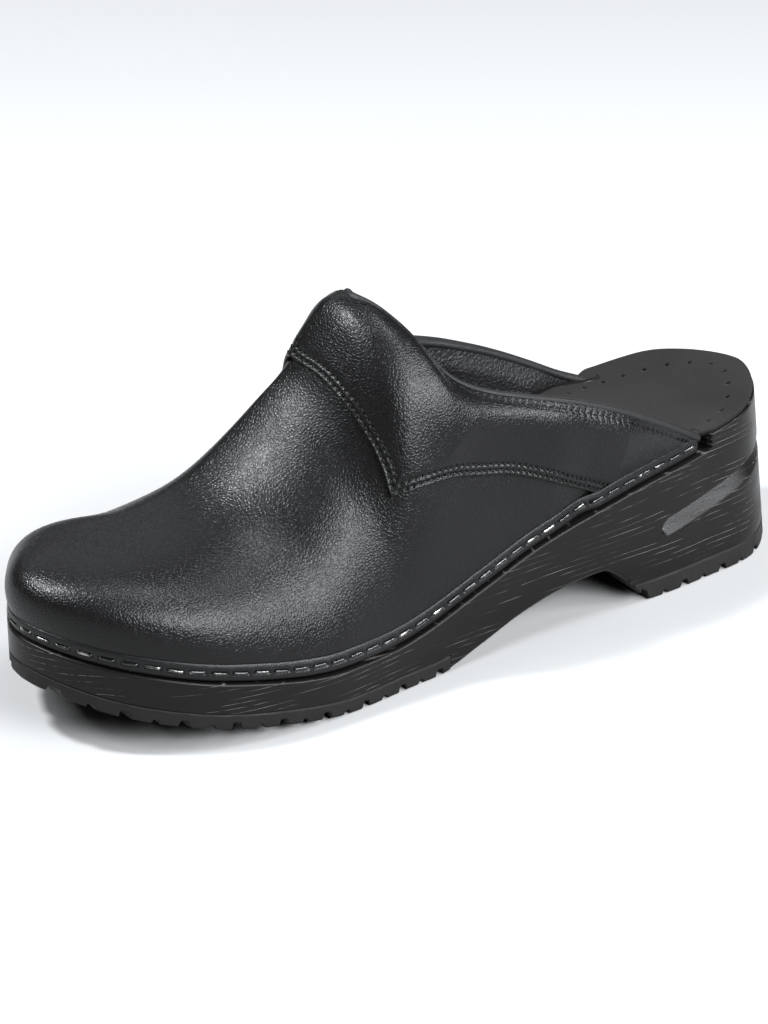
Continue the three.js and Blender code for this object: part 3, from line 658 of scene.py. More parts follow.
def build_padding(side, name, material):
    """Foam between the leather and the lining on one side, crowned and thin at its edges."""
    (start_k, start_v), (end_k, end_v) = collar_places(side)
    use = slice(80, 320, 3)
    start, end = (start_k[use], start_v[use]), (end_k[use], end_v[use])
    k, v = ruled_places(start, end, [0, 2], [0, 2], 30)
    k, v = k[:, 9:-4], v[:, 9:-4]
    base, normal = leather(k, v), leather_normal(k, v)
    deep = lining_depth(base) - LAYER_GAP
    seam, top = patch_distances(base)
    lift = collar_bulge(top + 6, seam + 10, base[..., 0])
    outer = base + normal * (lift - 0.1)[..., None]
    inner = base - normal * deep[..., None]
    return make_mesh(name, *shell((outer + inner) / 2, (outer - inner) / 2, radius=3.0), material)


# ------------------------------------------------------------------ binding
def even_out(rows):
    """Rows averaged with their neighbours along a path, with both ends kept."""
    window = np.hanning(FRAME_WINDOW)
    window /= window.sum()
    reach = FRAME_WINDOW // 2
    ends = [2 * rows[:1] - rows[reach:0:-1], rows, 2 * rows[-1:] - rows[-2 : -reach - 2 : -1]]
    padded = np.concatenate(ends)
    return np.stack([np.convolve(column, window, mode="valid") for column in padded.T], 1)


def topline_frames():
    """Points, outward and upward directions along the whole topline, lateral rear to medial rear."""
    points, outs = [], []
    for side in (-1, 1):
        k, v = topline_places(side, 150)
        p, n = leather(k, v), leather_normal(k, v)
        points.append(p[::-1] if side < 0 else p[1:])
        outs.append(n[::-1] if side < 0 else n[1:])
    points, outs = even_out(np.concatenate(points)), even_out(np.concatenate(outs))
    along = unit(np.gradient(points, axis=0))
    outs = unit(outs - along * np.sum(outs * along, axis=1, keepdims=True))
    return points, outs, np.cross(along, outs)


def build_binding(material):
    points, outs, ups = topline_frames()
    count = 20
    angle = np.linspace(0, 2 * np.pi, count, endpoint=False)
    run = run_length(points)
    ends = np.minimum(run, run[-1] - run)
    taper = np.sqrt(np.clip(1 - (1 - np.clip(ends / 1.6, 0, 1)) ** 2, 0, 1))
    taper = taper[:, None, None]
    centre = points + outs * BEAD_LIFT - ups * BEAD_DROP
    side = np.cos(angle) * BEAD_HALF_WIDTH
    rise = np.sign(np.sin(angle)) * np.abs(np.sin(angle)) ** 0.8 * BEAD_HALF_HEIGHT
    rings = centre[:, None] + outs[:, None] * side[None, :, None] * taper
    rings += ups[:, None] * rise[None, :, None] * taper
    faces = grid_faces(len(points), count, closed=True)
    return make_mesh("topline_roll", rings.reshape(-1, 3), faces, material)


# ------------------------------------------------------------------ strip and staples
def strip_height_v(k, height):
    """The v at which the leather stands the given height above its feather edge."""
    return height_v(k, leather(k, 0 * k)[..., 2] + height, 0.5)


def strip_path(count=1200):
    k = np.linspace(-float(knot_at(STRIP_END)), float(knot_at(STRIP_END)), count)
    v = strip_height_v(k, STRIP_HEIGHT / 2)
    points = leather(k, v)
    run = run_length(points)
    return k, run


def staple_places():
    k, run = strip_path()
    count = int((run[-1] - 7) // STAPLE_PITCH) + 1
    first = (run[-1] - (count - 1) * STAPLE_PITCH) / 2
    return np.interp(first + STAPLE_PITCH * np.arange(count), run, k)


def build_strip(material):
    k_line, run = strip_path()
    rows = 1400
    k_rows = np.interp(np.linspace(0, run[-1], rows), run, k_line)
    staple_run = np.interp(staple_places(), k_line, run)
    row_run = np.linspace(0, run[-1], rows)
    nearest = np.min(np.abs(row_run[:, None] - staple_run[None]), axis=1)
    pinch = 1 - smooth((nearest - 2.7) / 0.7)
    levels = np.array([0, 0.03, 0.09, 0.18, 0.28, 0.36, 0.42, 0.48, 0.54, 0.6, 0.67, 0.76, 0.86, 0.94, 1.0])
    rng = np.random.default_rng(4)
    wave = np.convolve(rng.normal(0, 1, rows + 60), np.hanning(41) / 20, mode="same")[30:-30]
    height = STRIP_HEIGHT + 0.15 * wave
    k = np.repeat(k_rows[:, None], len(levels), 1)
    v = np.stack([strip_height_v(k_rows, height * level) for level in levels], 1)
    base, normal = leather(k, v), leather_normal(k, v)
    band = np.exp(-(((levels - 0.5) / 0.13) ** 2))
    dent = 0.55 * pinch[:, None] * band[None]
    inner = strip_lift(base[..., 0]) - 0.1
    swell = (STRIP_THICKNESS - 0.1) * (1 - levels**2.4) + 0.12 * wave[:, None] * (1 - levels)
    outer = inner + 0.25 + swell - dent
    middle = base + normal * ((outer + inner) / 2)[..., None]
    half = normal * ((outer - inner) / 2)[..., None]
    return make_mesh("strip_leather", *shell(middle, half, radius=0.45), material)


def staple_body():
    """A staple from round wire: flattened crown, rounded shoulders and two legs. x along, y out."""
    half = STAPLE_CROWN / 2 - STAPLE_WIRE / 2
    bend = STAPLE_BEND
    path = [(-half, -STAPLE_LEG, 0), (-half, -bend, 0)]
    turns = np.linspace(np.pi, np.pi / 2, 6)[1:]
    path += [(-half + bend + bend * math.cos(a), -bend + bend * math.sin(a), 0) for a in turns]
    path += [(-0.5, 0.0, 0)]
    path += [(-x, y, z) for x, y, z in path[::-1]]
    path = np.array(path)
    side = np.array([0, 0, 1.0])
    out = np.cross(side, unit(np.gradient(path, axis=0)))
    sides = 10
    angle = np.linspace(0, 2 * np.pi, sides, endpoint=False)
    across_wire = (np.cos(angle) * STAPLE_WIRE * WIRE_SECTION[0])[None, :, None]
    through_wire = (np.sin(angle) * STAPLE_WIRE * WIRE_SECTION[1])[None, :, None]
    rings = path[:, None] + side[None, None] * across_wire + out[:, None] * through_wire
    faces = grid_faces(len(path), sides, closed=True)
    last = (len(path) - 1) * sides
    faces += [tuple(range(sides))[::-1], tuple(range(last, last + sides))]
    return rings.reshape(-1, 3), faces


def build_staples(material):
    k = staple_places()
    v = strip_height_v(k, STRIP_HEIGHT / 2)
    point, normal = leather(k, v), leather_normal(k, v)
    step = leather(k + 0.02, v) - leather(k - 0.02, v)
    rng = np.random.default_rng(11)
    body, faces = staple_body()
    parts = []
    for p, n, s in zip(point, normal, step):
        lift = float(strip_lift(p[0])) + STRIP_THICKNESS - 0.35
        flat = unit(s)
        out = unit(n - flat * np.dot(n, flat))
        rise = np.cross(flat, out)
        turn = math.radians(rng.normal(0, STAPLE_TILT))
        along = flat * math.cos(turn) + rise * math.sin(turn)
        up = rise * math.cos(turn) - flat * math.sin(turn)
        shift = up * rng.normal(0, STAPLE_DRIFT[0]) + along * rng.normal(0, STAPLE_DRIFT[1])
        basis = np.stack([along, out, up])
        parts.append((body @ basis + p + out * lift + shift, faces))
    return make_mesh("staples", *join(parts), material, weld=0.0001)


# ------------------------------------------------------------------ stitches
def stitch_body(length=1.75, width=0.6, height=0.5):
    """One raised stitch: a short fat thread that dives at both ends."""
    rings, sides = 7, 8
    t = np.linspace(-1, 1, rings)
    angle = np.linspace(0, 2 * np.pi, sides, endpoint=False)
    size = np.sqrt(np.maximum(0, 1 - np.abs(t) ** 2.6))
    points = np.stack(
        [
            np.repeat(t[:, None] * length / 2, sides, 1),
            size[:, None] * np.cos(angle)[None] * width / 2,
            size[:, None] * np.sin(angle)[None] * height / 2 - 0.22 * (t[:, None] ** 2),
        ],
        -1,
    )
    return points.reshape(-1, 3), grid_faces(rings, sides, closed=True)


def stitch_rows(middle, normal):
    """Paths of the stitch rows on one side of the collar: two along the seam, one under the binding."""
    outer = middle + normal * COLLAR_THICKNESS / 2
    seam, top = patch_distances(middle)
    count = COLLAR_ROWS[0] + COLLAR_ROWS[1] - 1
    edge_line = outer[:count, 0]
    tangent = unit(np.gradient(edge_line, axis=0))
    heading = unit(outer[:count, 8] - edge_line)
    sine = np.sqrt(1 - np.clip(np.sum(tangent * heading, axis=1), -0.9, 0.9) ** 2)
    front, low = slice(1, COLLAR_ROWS[0]), slice(COLLAR_ROWS[0] - 1, count - 4)
    for part in (front, low):
        for inset in SEAM_INSETS:
            rows = range(*part.indices(count))
            path = [[np.interp(inset / sine[i], seam[i], outer[i, :, c]) for c in AXES] for i in rows]
            yield np.array(path), normal[part, 4], STITCH_PITCH
    rows = range(2, len(outer) - 8)
    path = [[np.interp(TOP_STITCH_INSET, top[i, ::-1], outer[i, ::-1, c]) for c in AXES] for i in rows]
    yield np.array(path), normal[2 : len(outer) - 8, -6], TOP_STITCH_PITCH


def stitch_places(path, normals, pitch):
    """Centres, normals and directions of even stitches along a path."""
    run = run_length(path)
    count = int(run[-1] // pitch)
    centres = (np.arange(count) + 0.5) * run[-1] / count

    def at(values, places):
        return np.stack([np.interp(places, run, values[:, c]) for c in range(3)], 1)

    along = unit(at(path, centres + 0.6) - at(path, centres - 0.6))
    ups = at(normals, centres)
    ups = unit(ups - along * np.sum(along * ups, axis=1, keepdims=True))
    return at(path, centres), ups, along


def build_stitches(material):
    parts = []
    body, faces = stitch_body()
    for side in (-1, 1):
        for path, normals, pitch in stitch_rows(*collar_sheet(side)):
            for centre, up, along in zip(*stitch_places(path, normals, pitch)):
                basis = np.stack([along, np.cross(up, along), up])
                parts.append((body @ basis + centre - up * 0.12, faces))
    return make_mesh("stitching", *join(parts), material, weld=0.0001)


# ------------------------------------------------------------------ sole
def end_fade(x):
    return smooth((HALF_LENGTH - np.abs(x)) / 26)


def sock_top(x, y):
    return rim_z(x) - dish_depth(x) * (1 - across(x, y) ** 4) * end_fade(x)


def rabbet_wall(x):
    depth = PADDING_DEPTH + (LAYER_GAP - PADDING_DEPTH) * rear_blend(x)
    return feather_inset(x) + LINING_THICKNESS + LAYER_GAP + depth


def wood_bottom(x):
    rubber = tread_z(x) + RUBBER_THICKNESS
    bare = np.where(x > HEEL_BREAST_X, HEEL_RUBBER_TOP, tread_z(x))
    return np.where(x < FORE_RUBBER_END, rubber, bare)


def even_knots(step, extra=(), start=None, stop=None):
    """Knot numbers from toe tip to heel at an even spacing on the outline, plus extra x places."""
    dense = np.linspace(0, KNOTS / 2, 4001)
    points = edge(dense)[0]
    run = run_length(points)
    k = np.interp(np.linspace(0, run[-1], int(run[-1] / step)), run, dense)
    k = np.unique(np.r_[k, knot_at(np.array(extra, float))]) if len(extra) else k
    x = edge(k)[0][:, 0]
    keep = np.ones(len(k), bool)
    if start is not None:
        keep &= x >= start - 1e-6
    if stop is not None:
        keep &= x <= stop + 1e-6
    return k[keep]


def wall_offset(x, z):
    return heel_flare(x) * (1 - z / 56.0)


def groove_depth(x, z):
    """Depth of the cove round the heel: a broad lower face under a steep upper one."""
    end = np.clip((GROOVE_START + GROOVE_HALF - x) / GROOVE_HALF, 0, 1)
    half = GROOVE_HALF * np.sqrt(np.maximum(1 - end**2, 1e-4))
    t = (z - groove_z(x)) / half
    floor = np.clip((t + 1) / 1.5, 0, 1)
    return GROOVE_DEPTH * floor * smooth((1 - t) / 0.4) * np.where(x < GROOVE_START, 0, 1)


def section_rings(knots, side_points, top_points, bottom_points):
    """Closed rings round the sole: lateral wall up, top across, medial wall down, bottom across."""
    rings = []
    for k in knots:
        lateral = side_points(-k)
        medial = side_points(k)
        top = top_points(lateral[-1], medial[-1])
        bottom = bottom_points(medial[0], lateral[0])
        rings.append(np.concatenate([lateral, top, medial[::-1], bottom]))
    return np.array(rings)


def wood_side(k):
    """One side's wall at a knot, from the underside to the rim of the footbed."""
    x = float(edge(k)[0][0])
    z0, z1 = float(wood_bottom(x)), float(ledge_z(x)) - LAYER_GAP
    behind = float(smooth((x - RABBET_END) / RABBET_STEP + 1))
    rabbet = float(rabbet_wall(x)) * (1 - behind)
    top = float(rim_z(x)) - SOCK_THICKNESS - 0.1
    bare = FORE_RUBBER_END < x < HEEL_BREAST_X
    r0 = 1.6 if bare else 0.25
    lip = 0.7 * min(1, rabbet)
    z, move = [], []
    for a in np.linspace(0, np.pi / 2, 6):
        z.append(z0 + r0 * (1 - math.sin(a)))
        move.append(-r0 * (1 - math.cos(a)))
    z, move = z[::-1], move[::-1]
    for t in np.linspace(0, 1, 80)[1:-1]:
        z.append(z0 + r0 + (z1 - lip - z0 - r0) * t)
        move.append(0.0)
    for a in np.linspace(0, np.pi / 2, 5):
        z.append(z1 - lip * (1 - math.sin(a)))
        move.append(-lip * (1 - math.cos(a)))
    for t in (0.35, 0.7, 1.0):
        z.append(z1)
        move.append(-lip - (rabbet - lip) * t)
    for t in np.linspace(0, 1, 8)[1:]:
        z.append(z1 + (top - 0.5 - z1) * t)
        move.append(-rabbet)
    for a in np.linspace(0, np.pi / 2, 4)[1:]:
        z.append(top - 0.5 * (1 - math.sin(a)))
        move.append(-rabbet - 0.5 * (1 - math.cos(a)))
    z, move = np.array(z), np.array(move)
    move = move + wall_offset(x, z) - groove_depth(np.full_like(z, x), z)
    points = edge(np.full_like(z, k), move)[0]
    return np.concatenate([points, z[:, None]], 1)


def flat_across(count, height):
    def across_points(a, b):
        t = np.linspace(0, 1, count + 2)[1:-1, None]
        points = a[None] * (1 - t) + b[None] * t
        points[:, 2] = height(points, a, b)
        return points
    return across_points


def build_sole(material):
    extra = [FORE_RUBBER_END - 0.02, FORE_RUBBER_END + 0.02]
    extra += [HEEL_BREAST_X - 0.1, HEEL_BREAST_X + 0.1]
    extra += list(np.linspace(103.2, 104.7, 9)) + list(np.linspace(79.9, 84, 9))
    knots = even_knots(1.5, extra)

    def top_height(points, a, b):
        rim = (a[2] + b[2]) / 2
        x, y = points[:, 0], points[:, 1]
        dish = dish_depth(x) * (1 - across(x, y) ** 4) * end_fade(x)
        return rim - dish

    def foot_height(points, a, b):
        return a[2] + 0 * points[:, 2]

    top, foot = flat_across(24, top_height), flat_across(10, foot_height)
    rings = section_rings(knots, wood_side, top, foot)
    faces = grid_faces(len(rings), rings.shape[1], closed=True)
    return make_mesh("wooden_sole", rings.reshape(-1, 3), faces, material)


def lug_cut(x, y, start, stop, pitch):
    """Depth of the cross grooves in a tread, wide and narrow in turn, slightly wavy."""
    wave = 0.9 * np.sin(y / 9.0) * smooth((30 - np.abs(y)) / 14)
    place = (x + wave - start) / pitch
    index = np.floor(place)
    t = np.abs(place - index - 0.5) * pitch
    wide = np.mod(index, 2) < 0.5
    half = np.where(wide, 1.25, 0.8)
    deep = np.where(wide, 2.3, 1.3)
    ragged = 0.18 * np.sin(x * 7.3 + y * 1.7) * np.sin(y * 3.1)
    inside = (x > start + 0.5) & (x < stop - 1.5)
    return np.where(inside, deep * smooth((half + 0.45 + ragged - t) / 0.55), 0)


def tread_mesh(name, material, start, stop, pitch, top):
    knots = even_knots(0.42, start=start, stop=stop)

    def side(k):
        x = float(edge(k)[0][0])
        z_top = float(top(x))
        z0 = min(float(tread_z(x)), z_top - 0.02)
        r = min(0.7, (z_top - z0) * 0.4)
        angles = np.linspace(0, np.pi / 2, 4)
        wall = z0 + r + (z_top - z0 - r) * np.linspace(0, 1, 7)[1:]
        z = np.r_[(z0 + r - r * np.sin(angles))[::-1], wall]
        move = np.r_[(-r * (1 - np.cos(angles)))[::-1], np.zeros(6)]
        move = move + wall_offset(x, z)
        points = edge(np.full_like(z, k), move)[0]
        cut = lug_cut(points[:, 0], points[:, 1], start, stop, pitch)
        weight = np.clip((z_top - z) / max(z_top - z0, 1e-6), 0, 1)
        z = z + np.minimum(cut, 0.8 * (z_top - z0)) * weight
        return np.concatenate([points, z[:, None]], 1)

    def under(points, a, b):
        x, y = points[:, 0], points[:, 1]
        base = np.minimum(tread_z(x), top(x) - 0.02)
        return base + np.minimum(lug_cut(x, y, start, stop, pitch), 0.8 * (top(x) - base))

    def over(points, a, b):
        return (a[2] + b[2]) / 2 + 0 * points[:, 2]

    rings = section_rings(knots, side, flat_across(4, over), flat_across(36, under))
    count = rings.shape[1]
    faces = grid_faces(len(rings), count, closed=True)
    points = rings.reshape(-1, 3)
    for row in (0, len(rings) - 1):
        ring = rings[row]
        if np.ptp(ring[:, 1]) > 5:
            faces.append(tuple(range(row * count, row * count + count)))
    return make_mesh(name, points, faces, material)


def build_fore_tread(material):
    def top(x):
        return tread_z(x) + RUBBER_THICKNESS - LAYER_GAP

    return tread_mesh("fore_tread", material, -HALF_LENGTH, FORE_RUBBER_END, FORE_LUG_PITCH, top)


def build_heel_tread(material):
    def top(x):
        return HEEL_RUBBER_TOP - LAYER_GAP + 0 * x

    return tread_mesh("heel_tread", material, HEEL_RUBBER_START, HALF_LENGTH, HEEL_LUG_PITCH, top)


def footbed_shell(offset, top, thickness, step, radius, start=None, stop=None, cols=60):
    """A sheet inside the outline with rounded edges; offset is measured inwards."""
    knots = even_knots(step, list(np.linspace(103.6, 105.2, 7)), start=start, stop=stop)
    s = np.linspace(-1, 1, cols)
    w = np.sign(s) * (1 - (1 - np.abs(s)) ** 1.25)
    x = edge(knots)[0][:, 0]
    lateral = edge(-knots, -offset(x, False))[0]
    medial = edge(knots, -offset(x, True))[0]
    t = (w[None, :, None] + 1) / 2
    flat = lateral[:, None] * (1 - t) + medial[:, None] * t
    z = top(flat[..., 0], flat[..., 1]) - thickness / 2
    middle = np.concatenate([flat, z[..., None]], -1)
    half = np.zeros_like(middle)
    half[..., 2] = thickness / 2
    return shell(middle, half, open_sides=("i0", "i1"), radius=radius)


def sock_offset(x, medial):
    """How far inside the outline the footbed leather ends: it widens behind the upper."""
    wide = smooth((x - (89 if medial else 98)) / (13 if medial else 8))
    return (rabbet_wall(x) + 0.2) * (1 - wide) + 0.4 * wide


def build_footbed(material):
    points, faces = footbed_shell(sock_offset, sock_top, SOCK_THICKNESS, 1.2, 0.8)
    sock = make_mesh("footbed_leather", points, faces, material)
    cut_holes(sock)
    return sock


def hole_places():
    """Points round the heel and along both sides, an even distance inside the rim."""
    k_start = float(knot_at(HOLE_START))
    half = np.linspace(k_start, KNOTS / 2, 400)
    k = np.concatenate([-half, half[::-1][1:]])
    x = edge(k)[0][:, 0]
    inset = HOLE_INSET + (rabbet_wall(x) - 1.0) * smooth((100 - x) / 12) * 0.55
    points = edge(k, -inset)[0]
    run = run_length(points)
    count = int(run[-1] // HOLE_PITCH)
    even = np.linspace(0, run[-1], count + 1)
    return np.stack([np.interp(even, run, points[:, c]) for c in (0, 1)], 1)


def cut_holes(sock):
    """Punches the round perforations through the footbed leather."""
    sides = 12
    angle = np.linspace(0, 2 * np.pi, sides, endpoint=False)
    parts = []
    for x, y in hole_places():
        z = float(sock_top(np.array(x), np.array(y)))
        ring = np.stack([x + HOLE_RADIUS * np.cos(angle), y + HOLE_RADIUS * np.sin(angle)], 1)
        points = np.concatenate([np.c_[ring, np.full(sides, z + rise)] for rise in (-2.6, 2)])
        caps = [tuple(range(sides)), tuple(range(sides, 2 * sides))]
        faces = grid_faces(2, sides, closed=True) + caps
        parts.append((points, faces))
    cutter = make_mesh("hole_cutter", *join(parts), sock.data.materials[0], weld=0.0001)
    modifier = sock.modifiers.new("holes", "BOOLEAN")
    modifier.operation = "DIFFERENCE"
    modifier.solver = "EXACT"
    modifier.object = cutter
    bake_modifiers(sock)
    bpy.data.objects.remove(cutter)


def bake_modifiers(obj):
    graph = bpy.context.evaluated_depsgraph_get()
    mesh = bpy.data.meshes.new_from_object(obj.evaluated_get(graph))
    obj.modifiers.clear()
    obj.data = mesh


def build_cushion(material):
    def offset(x, medial):
        return sock_offset(x, medial) + CUSHION_MARGIN

    def top(x, y):
        return sock_top(x, y) - SOCK_THICKNESS - LAYER_GAP - 0.4

    points, faces = footbed_shell(offset, top, CUSHION_THICKNESS - 0.4, 2.5, 1.3, cols=36)
    return make_mesh("footbed_foam", points, faces, material)


# ------------------------------------------------------------------ materials
def grey(value, tint=(1.0, 1.0, 1.0)):
    return (value * tint[0], value * tint[1], value * tint[2], 1.0)


class Finish:
    """A material made of nodes that read the row frame's coordinates, in metres."""

    def __init__(self, name, **sockets):
        self.material = bpy.data.materials.new(name)
        self.material.use_nodes = True
        self.tree = self.material.node_tree
        self.shader = self.tree.nodes["Principled BSDF"]
        self.place = self.node("ShaderNodeTexCoord").outputs["Object"]
        self.bump_out = None
        for socket, value in sockets.items():
            self.shader.inputs[socket.replace("_", " ")].default_value = value

    def node(self, kind, **settings):
        node = self.tree.nodes.new(kind)
        for name, value in settings.items():
            setattr(node, name, value)
        return node

    def link(self, output, socket):
        self.tree.links.new(output, socket)

    def stretched(self, size):
        """Coordinates counted in cells of the given size in mm, one number for each axis."""
        mapping = self.node("ShaderNodeMapping")
        mapping.inputs["Scale"].default_value = [1 / (s * MM) for s in size]
        self.link(self.place, mapping.inputs["Vector"])
        return mapping.outputs["Vector"]

    def noise(self, size, detail=3.0, roughness=0.55, distortion=0.0):
        size = size if isinstance(size, tuple) else (size,) * 3
        node = self.node("ShaderNodeTexNoise")
        node.inputs["Scale"].default_value = 1.0
        node.inputs["Detail"].default_value = detail
        node.inputs["Roughness"].default_value = roughness
        node.inputs["Distortion"].default_value = distortion
        self.link(self.stretched(size), node.inputs["Vector"])
        return node.outputs["Fac"]

    def cells(self, size, warp=0.35):
        """Pebbles: 0 in the creases between cells, rising towards each cell's middle."""
        wobble = self.node("ShaderNodeTexNoise")
        wobble.inputs["Scale"].default_value = 1.0
        wobble.inputs["Detail"].default_value = 2.0
        base = self.stretched((size,) * 3)
        self.link(base, wobble.inputs["Vector"])
        mix = self.node("ShaderNodeMix", data_type="RGBA", blend_type="LINEAR_LIGHT")
        mix.inputs[0].default_value = warp
        self.link(base, mix.inputs[6])
        self.link(wobble.outputs["Color"], mix.inputs[7])
        node = self.node("ShaderNodeTexVoronoi", feature="DISTANCE_TO_EDGE")
        node.inputs["Scale"].default_value = 1.0
        node.inputs["Randomness"].default_value = 1.0
        self.link(mix.outputs[2], node.inputs["Vector"])
        return self.steps(node.outputs["Distance"], 0.0, 0.32, 0.0, 1.0)

    def steps(self, value, low, high, out_low, out_high, smoothly=True):
        kind = "SMOOTHSTEP" if smoothly else "LINEAR"
        node = self.node("ShaderNodeMapRange", interpolation_type=kind)
        sockets = ("From Min", "From Max", "To Min", "To Max")
        for socket, number in zip(sockets, (low, high, out_low, out_high)):
            node.inputs[socket].default_value = number
        self.link(value, node.inputs["Value"])
        return node.outputs["Result"]

    def combine(self, a, b, operation="MULTIPLY"):
        node = self.node("ShaderNodeMath", operation=operation)
        for value, socket in ((a, node.inputs[0]), (b, node.inputs[1])):
            if isinstance(value, (int, float)):
                socket.default_value = value
            else:
                self.link(value, socket)
        return node.outputs["Value"]

    def colour(self, value, low, high):
        node = self.node("ShaderNodeMix", data_type="RGBA")
        node.inputs[6].default_value = low
        node.inputs[7].default_value = high
        self.link(value, node.inputs[0])
        self.link(node.outputs[2], self.shader.inputs["Base Color"])

    def rough(self, value, low, high):
        self.link(self.steps(value, 0.3, 0.7, low, high), self.shader.inputs["Roughness"])

    def bump(self, height, depth, strength=1.0):
        """Adds relief; depth is the height difference in mm between 0 and 1."""
        node = self.node("ShaderNodeBump")
        node.inputs["Strength"].default_value = strength
        node.inputs["Distance"].default_value = depth * MM
        self.link(height, node.inputs["Height"])
        if self.bump_out:
            self.link(self.bump_out, node.inputs["Normal"])
        self.bump_out = node.outputs["Normal"]
        self.link(self.bump_out, self.shader.inputs["Normal"])


def leather_finish(name, base, rough, cell, depth):
    """Finished cowhide: pebbled grain, pores, fine creases and uneven polish."""
    finish = Finish(name, Specular_IOR_Level=0.18)
    pebbles = finish.cells(cell, warp=0.3)
    pores = finish.noise(cell * 0.35, detail=4.0, roughness=0.65)
    patches = finish.noise(28, detail=3.0)
    finish.colour(patches, grey(base * 0.8, (1, 0.98, 1.0)), grey(base * 1.25, (1, 1, 1.06)))
    finish.rough(finish.combine(patches, finish.combine(pebbles, 0.12), "SUBTRACT"), *rough)
    finish.bump(finish.noise(9, detail=2.0), 0.10, 0.6)
    finish.bump(pebbles, depth, 0.6)
    finish.bump(pores, depth * 0.45, 0.5)
    return finish


def wood_finish():
    """Black-stained wood: satin, with thin pale growth lines running lengthwise."""
    finish = Finish("stained_wood", Specular_IOR_Level=0.16)
    split = finish.node("ShaderNodeSeparateXYZ")
    finish.link(finish.stretched((1, 1, 1.9)), split.inputs["Vector"])
    drift = finish.steps(finish.noise((95, 40, 26), detail=1.0), 0.2, 0.8, 0.0, 2.4, smoothly=False)
    rings = finish.combine(split.outputs["Z"], drift, "ADD")
    fibres = finish.noise((26, 1.5, 0.5), detail=3.0, roughness=0.6)
    patches = finish.noise((34, 10, 5), detail=2.0)
    near = finish.node("ShaderNodeMath", operation="PINGPONG")
    near.inputs[1].default_value = 0.5
    finish.link(rings, near.inputs[0])
    lines = finish.steps(near.outputs["Value"], 0.0, 0.085, 1.0, 0.0)
    lines = finish.combine(lines, finish.steps(patches, 0.42, 0.6, 0.0, 1.0))
    lines = finish.combine(lines, finish.steps(fibres, 0.42, 0.56, 0.0, 1.0))
    finish.colour(lines, grey(0.003, (1.1, 0.96, 0.93)), grey(0.07, (1.08, 0.98, 0.92)))
    finish.rough(patches, 0.34, 0.44)
    finish.bump(lines, 0.12, 0.8)
    finish.bump(fibres, 0.035, 0.6)
    return finish


def rubber_finish():
    finish = Finish("tread_rubber", Specular_IOR_Level=0.16)
    grit = finish.noise(0.7, detail=4.0, roughness=0.7)
    patches = finish.noise(11, detail=4.0)
    finish.colour(patches, grey(0.004, (1.05, 0.99, 0.95)), grey(0.011, (1.05, 1.0, 0.95)))
    finish.rough(patches, 0.5, 0.75)
    finish.bump(grit, 0.18, 0.8)
    finish.bump(patches, 0.25, 0.5)
    return finish


def footbed_finish():
    """Matt footbed leather whose nap shows as a soft, slightly mottled charcoal."""
    finish = Finish("footbed_leather", Specular_IOR_Level=0.12, Sheen_Weight=0.03, Sheen_Roughness=0.5)
    nap = finish.noise(0.35, detail=4.0, roughness=0.75)
    patches = finish.noise(16, detail=5.0, roughness=0.6)
    finish.colour(patches, grey(0.0045, (1.08, 0.98, 0.98)), grey(0.008, (1.06, 0.99, 0.99)))
    finish.rough(patches, 0.78, 0.62)
    finish.bump(nap, 0.1, 0.7)
    finish.bump(finish.cells(1.1), 0.05, 0.5)
    return finish


def foam_finish(name, low, high):
    finish = Finish(name, Specular_IOR_Level=0.2)
    pores = finish.cells(0.8)
    finish.colour(pores, low, high)
    finish.rough(finish.noise(6), 0.8, 0.95)
    finish.bump(pores, 0.25, 0.9)
    return finish


def board_finish():
    finish = Finish("stiffener_board", Specular_IOR_Level=0.3)
    fibres = finish.noise((3.5, 0.5, 0.9), detail=5.0, roughness=0.7)
    finish.colour(fibres, (0.2, 0.14, 0.085, 1), (0.4, 0.3, 0.2, 1))
    finish.rough(fibres, 0.7, 0.9)
    finish.bump(fibres, 0.12, 0.7)
    return finish


def binding_finish():
    """Rolled leather tape with a fine woven crinkle across it; its ridges are painted lighter and its
    hollows darker, as painted highlight and painted shade.
    """
    finish = Finish("binding_tape", Specular_IOR_Level=0.18)
    crinkle_and_painted_shade = finish.noise((0.75, 1.6, 0.75), detail=4.0, roughness=0.65)
    patches = finish.noise(7, detail=3.0)
    # The colour follows the crinkle's relief: painted highlight on its ridges and painted shade in its
    # hollows, not a dye.
    finish.colour(crinkle_and_painted_shade, grey(0.004), grey(0.018, (1, 1, 1.04)))
    finish.rough(patches, 0.42, 0.6)
    finish.bump(crinkle_and_painted_shade, 0.22, 0.9)
    return finish


def wire_finish():
    """Black-lacquered steel wire, worn bright in places."""
    finish = Finish("staple_wire", Metallic=0.9, Specular_IOR_Level=0.5)
    wear = finish.steps(finish.noise(5, detail=4.0), 0.5, 0.7, 0.0, 1.0)
    finish.colour(wear, grey(0.04), grey(0.32, (1.0, 0.98, 0.95)))
    finish.rough(finish.noise(2.5), 0.16, 0.3)
    finish.bump(finish.noise(1.0), 0.05, 0.4)
    return finish


def thread_finish():
    finish = Finish("thread", Specular_IOR_Level=0.14)
    twist = finish.noise((0.35, 0.35, 0.16), detail=2.0)
    finish.colour(twist, grey(0.003), grey(0.007))
    finish.rough(twist, 0.45, 0.65)
    finish.bump(twist, 0.12, 0.8)
    return finish


# ------------------------------------------------------------------ studio
def view_axes(azimuth, elevation):
    """Backward, right and up directions of a view from an azimuth and an elevation in degrees."""
    a, e = math.radians(azimuth), math.radians(elevation)
    back = Vector((math.sin(a) * math.cos(e), -math.cos(a) * math.cos(e), math.sin(e)))
    right = Vector((math.cos(a), math.sin(a), 0))
    return back, right, back.cross(right)


